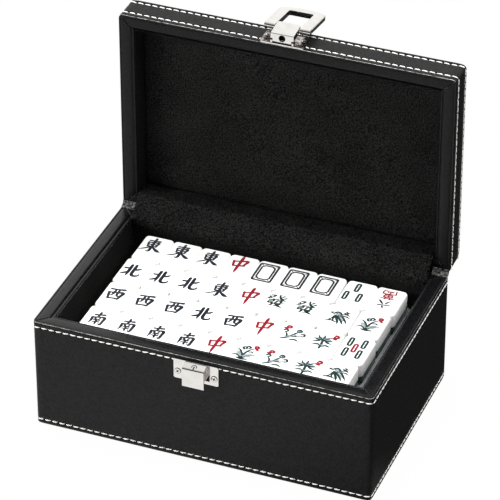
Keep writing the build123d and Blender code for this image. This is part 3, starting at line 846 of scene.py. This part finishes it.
def stamped_mark():
    """A small open ring with a stem, stamped on the strike's roof: black ribbons of painted shade
    laid on its surface, each point dropped onto the metal below it."""
    strike = bpy.data.objects["strike_plated"].data
    surface = BVHTree.FromPolygons([v.co for v in strike.vertices],
                                   [list(f.vertices) for f in strike.polygons])
    centre = np.array([LATCH_X, -HALF_D - 3.9])
    arc = [centre + (1.75 * cos(a), 1.5 * sin(a)) for a in np.linspace(-0.5, pi + 0.5, 15)]
    stem = [centre + (0, y) for y in np.linspace(0.5, -2.6, 8)]
    verts, faces = [], []
    for line, width in ((arc, 0.55), (stem, 0.8)):
        step = np.gradient(np.array(line), axis=0)
        side = np.column_stack([-step[:, 1], step[:, 0]]) / np.linalg.norm(step, axis=1)[:, None] * width / 2
        faces += list(grid_faces(len(line), 2, flip=True) + len(verts))
        for x, y in np.stack([line - side, line + side], 1).reshape(-1, 2):
            hit = surface.ray_cast(mm(x, y, BODY_H), (0, 0, -1))[0]
            verts.append((x, y, hit.z * 1000 + 0.03))
    mesh_piece("strike_stamped_mark", verts, faces, SHADE_BLACK, "case")


stamped_mark()


def finger_hole():
    """A black cup inside the lever's finger hole, which paints the shade in it: a circle carried
    along (radius, depth) points, as a short cup closed at its inner end."""
    radius, depth = np.array([(2.46, 1.55), (2.46, 2.9), (0.01, 2.9)]).T[:, :, None]
    a = np.arange(28) * 2 * pi / 28
    points = np.stack([LATCH_X + radius * np.cos(a), HALF_D + depth + 0 * a, HOLE_Z + radius * np.sin(a)], -1)
    faces = grid_faces(3, 28, wrap_columns=True)
    mesh_piece("finger_hole_inside", points, faces, SHADE_BLACK, "lever")


finger_hole()


def screw_head():
    """A pan head with a cross recess, about the origin with its face up: the height at radius r
    and angle a is a shallow dome less a cross of two slots that shallow out towards the rim.
    Gives the points, the faces, and which faces lie in the recess or under the rim, where
    shade is painted black."""
    radii = [0.001, 0.25, 0.45, 0.65, 0.85, 1.05, 1.3, 1.6, 1.9, 2.1, 2.25, HEAD_R, HEAD_R]
    r, a = np.meshgrid(radii, np.arange(32) * 2 * pi / 32, indexing="ij")
    x, y = r * np.cos(a), r * np.sin(a)
    dome = 0.68 - 0.34 * (r / HEAD_R) ** 2.4
    cross = 0.55 * np.maximum(bell(x, 0.30), bell(y, 0.30)) * (r < 1.35) * (1 - r / 1.9)
    height = dome - cross
    height[-1] = 0
    faces = grid_faces(*r.shape, wrap_columns=True, flip=True)
    sunk = (dome - height).ravel()[faces].mean(1) > 0.13
    return np.stack([x, y, height], -1).reshape(-1, 3), faces, sunk | (r.ravel()[faces].min(1) > 2.05)


def screw_heads(name, node, y, z, up, out, body):
    """Two screw heads beside the latch at (y, z), each turned by its own angle, facing out."""
    shape, faces, dark = screw_head()
    axes = np.array([(1, 0, 0), up, out], float)
    points = []
    for x, turn in ((-SCREW_X, 0.5), (SCREW_X, 1.2)):
        spin = np.array([[cos(turn), sin(turn), 0], [-sin(turn), cos(turn), 0], [0, 0, 1]])
        points.append((LATCH_X + x, y, z) + shape @ spin @ axes)
    all_faces = np.concatenate([faces, faces + len(shape)])
    piece = mesh_piece(name, points, all_faces, [NICKEL, SHADE_BLACK], body)
    # the recesses and the edges under the heads are painted black: painted shade
    paint_faces(piece, np.tile(dark, 2))
    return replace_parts(piece, node)


screw_heads("strike_screw_heads", "strike_screws", -HALF_D - SCREW_SEAT, STRIKE_SCREW_Z,
            (0, 0, 1), (0, -1, 0), "case")
screw_heads("latch_screw_heads", "latch_screws", BASE_SCREW_Y, BASE_SCREW_Z + SCREW_SEAT,
            (0, 1, 0), (0, 0, 1), "lid")
for node in ("lever_pin", "loop_pin"):
    use_material(node, NICKEL)
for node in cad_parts:
    if node.endswith("_board"):
        use_material(node, BOARD)
for layer in range(1, LAYERS + 1):
    use_material(f"tray_{layer}", CLEAR)


# ---- tiles ---------------------------------------------------------------------------------
def rounded_rectangle(half_w, half_l, radius):
    """Points of a rectangle with round corners, six to a quarter arc, counter-clockwise."""
    a = (np.arange(4)[:, None] * pi / 2 + np.linspace(0, pi / 2, 6)).ravel()
    corners = np.repeat([(1, 1), (-1, 1), (-1, -1), (1, -1)], 6, axis=0) * (half_w - radius, half_l - radius)
    return corners + radius * np.column_stack([np.cos(a), np.sin(a)])


def tile_block(levels):
    """A tile layer from (height, inset) levels, closed at both ends; corners keep their centre,
    so the radius shrinks by the inset."""
    outlines = [rounded_rectangle(TILE_W / 2 - w, TILE_L / 2 - w, TILE_CORNER - w) for _, w in levels]
    rows, columns = len(levels), len(outlines[0])
    points = np.column_stack([np.concatenate(outlines), np.repeat([z for z, _ in levels], columns)])
    faces = list(grid_faces(rows, columns, wrap_columns=True, flip=True))
    return points, faces + [np.arange(columns)[::-1], np.arange(columns) + (rows - 1) * columns]


FACE_EASE, BACK_EASE = 1.5, 1.6
FACE_BLOCK = tile_block([(TILE_BACK + 0.02, 0.12), (TILE_BACK + 0.16, 0.02), (TILE_BACK + 0.5, 0.0)]
                        + [(TILE_T - FACE_EASE + rise, w) for rise, w in eased(FACE_EASE)])
BACK_BLOCK = tile_block([(BACK_EASE - rise, w) for rise, w in eased(BACK_EASE)][::-1]
                        + [(TILE_BACK - 0.5, 0.0), (TILE_BACK - 0.16, 0.02), (TILE_BACK, 0.12)])


# In the top layer each row, from the front, has slid sideways, its last tiles stand off the
# others by a gap, and its left columns have slid back.
ROW_SLIDE = (-0.45, 0.1, -0.25, 0.75)
OPEN_GAPS, GAP_BEFORE = (0.2, 0.95, 0.95, 1.05), (8, 8, 8, 7)
LEFT_SLIDE_BACK, SLIDE_BACK_STEP = 0.45, 0.11


def tile_centres(layer):
    """Each tile's row and column from the front left, centre and small turn, with the slight
    play of loose tiles."""
    random = np.random.default_rng(40 + layer)
    z = FIRST_TILE_Z + (layer - 1) * LAYER_PITCH
    for row in range(ROWS):
        for column in range(COLUMNS):
            x, y = random.uniform(-0.04, 0.04, 2)
            if layer == LAYERS:
                x += ROW_SLIDE[row] + OPEN_GAPS[row] * (column >= GAP_BEFORE[row])
                y += LEFT_SLIDE_BACK - SLIDE_BACK_STEP * column
            yield (row, column, BLOCK_X + (column - (COLUMNS - 1) / 2) * (TILE_W + TILE_GAP) + x,
                   BLOCK_Y + (row - (ROWS - 1) / 2) * (TILE_L + TILE_GAP) + y, z,
                   random.uniform(-0.0012, 0.0012))


def layer_of_blocks(name, node, block, layer, material):
    """All the tiles of one tray as one piece."""
    shape, faces = block
    points, all_faces = [], []
    for k, (_, _, x, y, z, turn) in enumerate(tile_centres(layer)):
        points.append(shape @ np.array([(1, turn, 0), (-turn, 1, 0), (0, 0, 1)]) + (x, y, z))
        all_faces += [f + k * len(shape) for f in faces]
    piece = mesh_piece(name, points, all_faces, material, f"tray_stack_{layer}")
    piece.data.set_sharp_from_angle(angle=radians(50))
    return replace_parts(piece, node)


for layer in range(1, LAYERS + 1):
    layer_of_blocks(f"white_tiles_{layer}", f"tile_faces_{layer}", FACE_BLOCK, layer,
                    TILE_WHITE)
    layer_of_blocks(f"green_backs_{layer}", f"tile_backs_{layer}", BACK_BLOCK, layer,
                    TILE_GREEN)


# ---- marks on the tiles ----------------------------------------------------------------------
# Each stroke is "x,y,width x,y,width ..." in hundredths of the mark's size, y down from the top.
# A letter before a stroke is its ink: k black, g green, r red, w a pale wash.
MARKS = {
    "east": """29,17,11 49,15,9 69,14,13;29,27,12 31,41,10 33,54,10;
        29,28,10 50,26,10 67,25,14 65,39,12 63,52,10;33,40,9 62,38,9;34,52,9 64,50,9;
        50,-1,12 49,24,14 49,54,14 48,80,14 41,85,7 37,78,2;45,53,13 34,65,10 20,75,9 8,81,5;
        52,54,9 64,65,14 78,75,18 91,78,2""",
    "west": """25,25,12 49,22,10 75,18,16;25,45,14 28,61,12 32,83,10;
        25,46,10 49,42,10 75,38,16 72,59,14 67,81,10;44,24,10 43,45,12 39,59,9 33,66,2;
        57,23,10 56,47,12 59,61,10 69,62,9 70,57,2;32,81,10 51,78,10 69,77,12""",
    "south": """38,31,12 55,28,10 73,24,15;55,13,12 55,28,12 52,42,10;35,46,14 36,65,12 33,87,3;
        36,47,10 55,43,10 77,40,15 78,60,14 76,83,12 71,83,7 66,75,2;46,50,12 51,58,10;64,48,8 59,57,8;
        44,62,8 66,59,10;43,73,8 67,69,10;55,59,10 56,84,10""",
    "north": """18,39,12 29,38,12 38,34,12;38,15,14 38,41,16 38,64,14 37,85,6;16,76,10 27,69,14 38,57,8;
        77,29,8 67,38,14 54,44,10;54,13,14 54,41,16 54,69,16 61,79,16 72,78,14 80,71,10 80,61,2""",
    "centre": """r24,25,11 27,40,10 30,57,9;r26,28,9 48,22,9 74,16,13 70,33,11 66,47,9;
        r32,55,9 50,51,9 70,46,10;r51,-9,8 50,4,13 49,44,12 48,77,11 48,98,3""",
    "green": """g10,7,8 25,4,10 18,17,8 9,26,8 -3,33,2;g7,14,10 13,22,8;g4,23,8 9,27,7;
        g40,-3,8 43,10,10 54,23,14 71,29,2;g57,1,10 50,9,7;g67,10,10 57,18,7;g23,28,8 43,26,8;
        g10,36,8 28,33,10 26,43,8;g12,44,8 25,42,8;g12,44,10 11,53,8 27,51,12 25,66,10 18,65,3;
        g41,34,10 39,44,10 32,52,3;g41,34,8 55,32,12 55,42,10 66,41,5;g36,54,10 56,50,12 46,61,10 33,71,2;
        g40,55,8 50,63,14 67,70,5""",
    "myriad": """r14,14,10 50,12,9 88,9,10;r36,3,10 37,20,9;r64,2,10 63,19,9;r26,26,10 30,50,9;
        r27,27,9 74,24,12 70,49,9;r31,38,8 69,36,8;r32,49,8 70,48,8;r50,26,9 51,78,9;r14,60,10 19,94,9;
        r15,61,9 86,56,12 85,90,10 74,88,3;r50,70,8 33,84,8 67,80,9;r62,72,9 72,86,9""",
    "six": """47,4,14 55,20,15;12,38,12 50,33,12 88,28,15;40,50,14 32,68,14 14,90,3;
        60,46,12 74,62,17 90,80,14""",
    "bird": """w44,30,20 58,44,24 70,62,20;g31,30,8 40,20,10 52,24,10 56,36,10 46,44,8 35,40,7;
        g27,24,5 18,28,7 31,34,5;g40,28,8 41,29,8;g50,40,10 65,46,12 78,60,10 90,78,3;
        g46,46,10 58,56,12 69,70,10 77,86,3;g40,46,8 48,60,10 56,74,10 60,90,3;g58,32,7 73,26,8 88,32,3;
        g61,40,7 78,38,8 92,46,3;g35,46,7 31,62,7 23,72,7;g39,50,7 37,66,7 42,78,7;
        g12,76,7 35,74,8 52,80,5;g69,10,7 77,16,8 86,14,3;g63,18,7 73,22,7 82,24,3""",
    "orchid": """w26,52,18 46,72,26 72,62,18;g46,86,10 42,61,10 29,40,8 12,31,2;
        g48,86,10 50,57,10 60,33,8 80,14,2;g50,86,8 60,67,8 75,57,8 92,57,2;g44,86,8 35,73,8 20,69,8 6,74,2;
        g40,33,8 35,23,10 42,18,8 48,25,8 42,33,6;g44,19,8 52,12,10 60,18,8 54,25,6;
        g31,86,8 50,89,10 69,86,8;g61,44,6 71,40,8 78,46,5;r73,6,11 82,4,11 86,12,10 78,16,10 73,10,8;
        r80,19,10 88,25,10""",
    "plum": """w64,26,20 72,30,16;w34,70,22 60,52,18;g16,86,8 34,74,10 48,58,10 60,38,8 80,24,3;
        g46,60,8 66,60,8 84,50,3;g34,74,8 30,56,8 20,42,3;
        g58,28,8 64,18,10 74,22,8 72,32,8 62,34,7;g78,42,8 88,38,10 92,48,8 84,54,7;
        g12,36,8 20,28,10 28,36,8 20,44,7;g50,82,8 66,78,10 80,84,5;g66,25,7 67,26,7;
        r18,8,12 28,6,10 32,14,10 22,18,10 16,12,8;r10,20,10 20,24,10""",
    "chrysanthemum": """w26,42,20 50,38,26 74,42,20;w36,72,14 64,74,14;g50,94,9 50,68,11 48,48,9;
        g50,76,9 33,70,11 21,76,5;g50,82,9 67,72,11 82,76,5;
        g48,38,11 48,26,9 48,14,4;g44,40,11 33,32,9 25,20,4;g54,40,11 63,30,9 73,22,4;
        g40,44,11 27,42,9 14,38,4;g58,44,11 71,42,9 84,42,4;g37,50,9 25,56,9 14,56,4;
        g60,50,9 71,56,9 84,58,4;g46,42,14 52,44,14 48,48,13;r82,4,13 92,6,11 94,14,11 86,18,9 79,12,9;
        r77,22,11 90,26,11""",
}


def loop_stroke(cx, cy, half_w, half_h, width, ink, corner):
    """A closed outline as a stroke: a rounded box whose corner share runs from 0, square, to 1,
    an ellipse, by a superellipse whose power is 2 over the corner share."""
    a = np.linspace(0, 2 * pi, 17)
    c, s = (np.sign(v) * np.abs(v) ** corner for v in (np.cos(a), np.sin(a)))
    return ink, np.column_stack([cx + half_w * c, cy + half_h * s, np.full(len(a), width)]), True


# Share of the drawn widths that each mark is painted with.
WEIGHTS = {"east": 0.78, "west": 0.84, "south": 0.80, "north": 0.80, "centre": 0.95, "green": 0.78}


def strokes_of(mark):
    """The strokes of a drawn mark: (ink, points, is it a closed outline)."""
    found, weight = [], WEIGHTS.get(mark, 0.9)
    for text in MARKS[mark].replace("\n", "").split(";"):
        text = text.strip()
        ink, text = (text[0], text[1:]) if text[0] in "kgrw" else ("k", text)
        track = np.array([[float(v) for v in point.split(",")] for point in text.split()]) * (1, 1, weight)
        found.append((ink, track, False))
    return found


def bamboo(cx, cy, ink):
    """A stick of bamboo: a long rounded outline with a bar across its waist."""
    waist = [(cx - 9, cy, 2.6), (cx + 9, cy, 2.6)]
    return [loop_stroke(cx, cy, 6.0, 23.0, 8.2, ink, 0.45), (ink, waist, False)]


def blank_frame():
    """The framed blank: two nested outlines with cut corners, joined across each corner."""
    middle = np.array([45, 57])
    found = [("k", [(*(middle + (sx * 31, sy * 49)), 3.4), (*(middle + (sx * 20, sy * 38)), 3.4)], False)
             for sx in (-1, 1) for sy in (-1, 1)]
    for w, h, cut, width in ((34.5, 52.5, 3, 8.2), (24.5, 42.5, 11, 7.2)):
        corners = middle + [(w, h - cut), (w - cut, h), (cut - w, h), (-w, h - cut),
                            (-w, cut - h), (cut - w, -h), (w - cut, -h), (w, cut - h)]
        for a, b in zip(corners, np.roll(corners, -1, axis=0)):
            found.append(("k", [(*a, width), (*((a + b) / 2), width), (*b, width)], False))
    return found


def circles(count):
    """The circles of that number, each a ring round a dot, spread over the tile."""
    spots = {1: [(50, 50)], 2: [(50, 20), (50, 80)], 3: [(24, 8), (50, 50), (76, 92)],
             4: [(28, 18), (72, 18), (28, 82), (72, 82)],
             5: [(25, 14), (75, 14), (50, 50), (25, 86), (75, 86)],
             6: [(28, 8), (72, 8), (28, 50), (72, 50), (28, 92), (72, 92)]}[count]
    size = 32 if count == 1 else 15
    found = []
    for k, (x, y) in enumerate(spots):
        ink = "gkr"[(k + count) % 3]
        found += [loop_stroke(x, y, size, size, size * 0.22, ink, 1.0),
                  loop_stroke(x, y, size * 0.4, size * 0.4, size * 0.3, ink, 1.0)]
    return found


def sticks(count):
    """The bamboos of that number, in columns."""
    spots = {2: [(50, 22), (50, 78)], 3: [(43, 25), (17, 82), (67, 82)],
             4: [(28, 22), (72, 22), (28, 78), (72, 78)],
             5: [(25, 16), (75, 16), (50, 48), (25, 79), (75, 79)],
             6: [(24, 22), (50, 22), (76, 22), (24, 78), (50, 78), (76, 78)]}[count]
    return [part for x, y in spots
            for part in bamboo(x, y, "r" if (x, y) == (50, 48) else "g")]


def shifted(strokes, down, scale):
    """Strokes scaled about the middle of the mark and moved down."""
    return [(ink, (track - (50, 50, 0)) * scale + (50, 50 + down, 0), closed)
            for ink, track, closed in strokes]


SIX_MYRIAD = shifted(strokes_of("six"), -32, 0.56) + shifted(strokes_of("myriad"), 24, 0.62)
# The visible layer's marks, from the back row. The six of myriads lies upside down.
TOP_ROWS = (
    "east east east centre blank blank blank sticks_3 six_myriad",
    "north north north east centre green green bird orchid",
    "west west west north west centre plum chrysanthemum sticks_5",
    "south south south south centre orchid plum chrysanthemum bird",
)
MARK_SIZE = 20.0                # millimetres to a hundred units
ROW_SHIFTS = (1.2, 1.5, 0.6, 2.8)   # how far the marks of each row stand behind the tiles' middles
MARK_SHIFT, MARK_SPREAD = -1.6, 0.15    # sideways in the first column, and more from one to the next
MARK_LIFT, MARK_CROWN, STROKE_STEP = 0.012, 0.03, 0.0015


def brush_ribbon(track, closed, level):
    """A stroke as a ribbon of paint, three points across, its middle raised by MARK_CROWN, along
    a Catmull-Rom curve through the track: four points to a span, from the cubic whose ends and
    slopes there are the track's own. Open ends are pointed."""
    track = np.array(track, float)
    padded = np.concatenate([[2 * track[0] - track[1]], track, [2 * track[-1] - track[-2]]])
    p0, p1, p2, p3 = padded[:-3, None], padded[1:-2, None], padded[2:-1, None], padded[3:, None]
    t = np.linspace(0, 1, 5)[:-1, None]
    curve = 0.5 * (2 * p1 + (p2 - p0) * t + (2 * p0 - 5 * p1 + 4 * p2 - p3) * t ** 2
                   + (3 * p1 - p0 - 3 * p2 + p3) * t ** 3)
    curve = np.concatenate([curve.reshape(-1, 3), track[-1:]])
    if not closed:
        tips = []
        for end, inner in ((curve[0], curve[1]), (curve[-1], curve[-2])):
            ahead = end[:2] - inner[:2]
            ahead = ahead * 0.42 * end[2] / max(np.linalg.norm(ahead), 1e-6)
            tips.append([[*(end[:2] + ahead), end[2] * 0.15]])
        curve = np.concatenate([tips[0], curve, tips[1]])
    step = np.gradient(curve[:, :2], axis=0)
    if closed and np.allclose(curve[0], curve[-1]):
        step[0] = step[-1] = curve[1, :2] - curve[-2, :2]
    length = np.maximum(np.linalg.norm(step, axis=1), 1e-6)
    side = np.column_stack([-step[:, 1], step[:, 0]]) / length[:, None]
    half = side * np.maximum(curve[:, 2:], 0.4) / 2
    across = np.stack([curve[:, :2] - half, curve[:, :2], curve[:, :2] + half], 1)
    points = np.empty((len(curve), 3, 3))
    points[:, :, :2] = (across - 50) * (MARK_SIZE / 100) * (1, -1)
    points[:, :, 2] = MARK_LIFT + level + np.array([0, MARK_CROWN, 0])
    return points.reshape(-1, 3), grid_faces(len(curve), 3)


def mark_strokes(mark):
    """The strokes of a tile's mark, by its name, which ends in a number for circles and sticks."""
    name, _, count = mark.partition("_")
    if mark == "six_myriad":
        return SIX_MYRIAD
    if name in ("circles", "sticks"):
        return {"circles": circles, "sticks": sticks}[name](int(count))
    return blank_frame() if mark == "blank" else strokes_of(mark)


def paint_layer(layer, rows):
    """The marks of one layer of tiles, one piece for each ink."""
    inks = {"k": ("black", INK_BLACK), "g": ("green", INK_GREEN),
            "r": ("red", INK_RED), "w": ("pale", INK_WASH)}
    points, faces = {ink: [] for ink in inks}, {ink: [] for ink in inks}
    count = dict.fromkeys(inks, 0)
    for row, column, x, y, z, turn in tile_centres(layer):
        mark = rows[ROWS - 1 - row].split()[column]
        a = turn + (pi if mark == "six_myriad" else 0)
        spin = np.array([(cos(a), sin(a), 0), (-sin(a), cos(a), 0), (0, 0, 1)])
        middle = (x + MARK_SHIFT + MARK_SPREAD * column, y + ROW_SHIFTS[row], z + TILE_T)
        for level, (ink, track, closed) in enumerate(mark_strokes(mark)):
            ribbon, quads = brush_ribbon(track, closed, STROKE_STEP * level)
            points[ink].append(ribbon @ spin + middle)
            faces[ink] += list(quads[:, ::-1] + count[ink])
            count[ink] += len(ribbon)
    for ink, (ink_name, material) in inks.items():
        if faces[ink]:
            mesh_piece(f"{ink_name}_marks_{layer}", np.concatenate(points[ink]), faces[ink], material,
                       f"tray_stack_{layer}")


def suit_rows(layer):
    """Marks for a hidden layer: circles and sticks by turns, of chance numbers."""
    random = np.random.default_rng(layer)
    kinds = (("sticks", 2), ("circles", 1))     # a suit's name and its least number
    rows = []
    for _ in range(ROWS):
        suits = [kinds[(column + layer) % 2] for column in range(COLUMNS)]
        rows.append(" ".join(f"{suit}_{random.integers(least, 7)}" for suit, least in suits))
    return rows


paint_layer(LAYERS, TOP_ROWS)
for layer in range(1, LAYERS):
    paint_layer(layer, suit_rows(layer))


# ---- camera, floor and light -----------------------------------------------------------------
def place_camera():
    """A long lens from the front right and above."""
    camera = bpy.data.objects.new("camera", bpy.data.cameras.new("camera"))
    camera.data.lens, camera.data.sensor_width, camera.data.clip_end = 241.055, 36.0, 20
    camera.location = mm(708.655, -1786.09, 1412.892)
    camera.rotation_euler = Euler((radians(56.206), radians(0.029), radians(21.47)))
    bpy.context.scene.collection.objects.link(camera)
    bpy.context.scene.camera = camera
    bpy.context.scene.view_settings.view_transform = "Standard"


def slope_of(tree, output, direction):
    """How far a coordinate lies along a direction."""
    along = tree.nodes.new("ShaderNodeVectorMath")
    along.operation = "DOT_PRODUCT"
    along.inputs[1].default_value = direction
    tree.links.new(tree.nodes.new("ShaderNodeTexCoord").outputs[output], along.inputs[0])
    return along.outputs["Value"]


def glow(tree, kind, strength=1.0):
    """A white emission or background shader."""
    node = tree.nodes.new(kind)
    node.inputs["Color"].default_value = (1, 1, 1, 1)
    node.inputs["Strength"].default_value = strength
    return node


def either(tree, share, first, second):
    """Two shaders mixed by a share that runs from the first to the second."""
    mix = tree.nodes.new("ShaderNodeMixShader")
    for socket, output in zip(mix.inputs, (share, first.outputs[0], second.outputs[0])):
        tree.links.new(output, socket)
    return mix


def lay_floor():
    """A pale floor that keeps the shadow. Metal mirrors it bright towards the front left and dim
    towards the back right."""
    floor = bpy.data.objects.new("floor", bpy.data.meshes.new("floor"))
    floor.data.from_pydata([(-6, -6, 0), (6, -6, 0), (6, 6, 0), (-6, 6, 0)], [], [(0, 1, 2, 3)])
    bpy.context.scene.collection.objects.link(floor)
    floor.location.z = -0.0005
    paper, tree, bsdf = shader("paper", Base_Color=(0.62, 0.62, 0.62, 1), Roughness=0.9,
                               Specular_IOR_Level=0.0)
    path = tree.nodes.new("ShaderNodeLightPath")
    mirrored = glow(tree, "ShaderNodeEmission")
    toward = slope_of(tree, "Object", (-1.5, -1.5, 0))
    remap(tree, toward, mirrored.inputs["Strength"], 0.04, 0.98, -0.16, 0.22)
    seen = tree.nodes.new("ShaderNodeMath")
    seen.operation = "MULTIPLY"
    seen.inputs[1].default_value = 0.975        # a trace of shadow shows
    tree.links.new(path.outputs["Is Camera Ray"], seen.inputs[0])
    lit = either(tree, path.outputs["Is Glossy Ray"], bsdf, mirrored)
    shown = either(tree, seen.outputs[0], lit, glow(tree, "ShaderNodeEmission"))
    tree.links.new(shown.outputs[0], tree.nodes["Material Output"].inputs["Surface"])
    floor.data.materials.append(paper)


def light_world():
    """A white backdrop. Metal mirrors it brighter towards the back left and above, and it lights
    matt surfaces faintly."""
    world = bpy.data.worlds.new("world")
    bpy.context.scene.world = world
    world.use_nodes = True
    tree = world.node_tree
    mirrored = tree.nodes["Background"]
    mirrored.inputs["Color"].default_value = (1, 1, 1, 1)
    toward = slope_of(tree, "Generated", (-0.5, 0.75, 0.35))
    remap(tree, toward, mirrored.inputs["Strength"], 0.04, 1.08, -0.25, 0.9)
    path = tree.nodes.new("ShaderNodeLightPath")
    faint = glow(tree, "ShaderNodeBackground", 0.10)
    unseen = either(tree, path.outputs["Is Diffuse Ray"], mirrored, faint)
    both = either(tree, path.outputs["Is Camera Ray"], unseen, glow(tree, "ShaderNodeBackground"))
    tree.links.new(both.outputs[0], tree.nodes["World Output"].inputs["Surface"])


def hang_lamps():
    """Soft lamps above, at the front left, and above the right."""
    for name, size, power, place, aim in (
            ("key_top", (1.8, 1.6), 43, (-0.1, 0.2, 1.6), (0, 0, 0.1)),
            ("key_left", (0.9, 0.9), 66, (-1.9, -1.15, 0.8), (0, 0, 0.12)),
            ("fill_right", (0.7, 0.7), 18, (0.95, 0.1, 1.35), (0, 0, 0.08))):
        data = bpy.data.lights.new(name, "AREA")
        data.shape, data.size, data.size_y, data.energy = "RECTANGLE", *size, power
        lamp = bpy.data.objects.new(name, data)
        lamp.location = place
        lamp.visible_glossy = False
        away = np.array(place) - np.array(aim)
        lamp.rotation_euler = Euler((atan2(np.hypot(away[0], away[1]), away[2]), 0, atan2(away[0], -away[1])))
        bpy.context.scene.collection.objects.link(lamp)


place_camera()
lay_floor()
light_world()
hang_lamps()
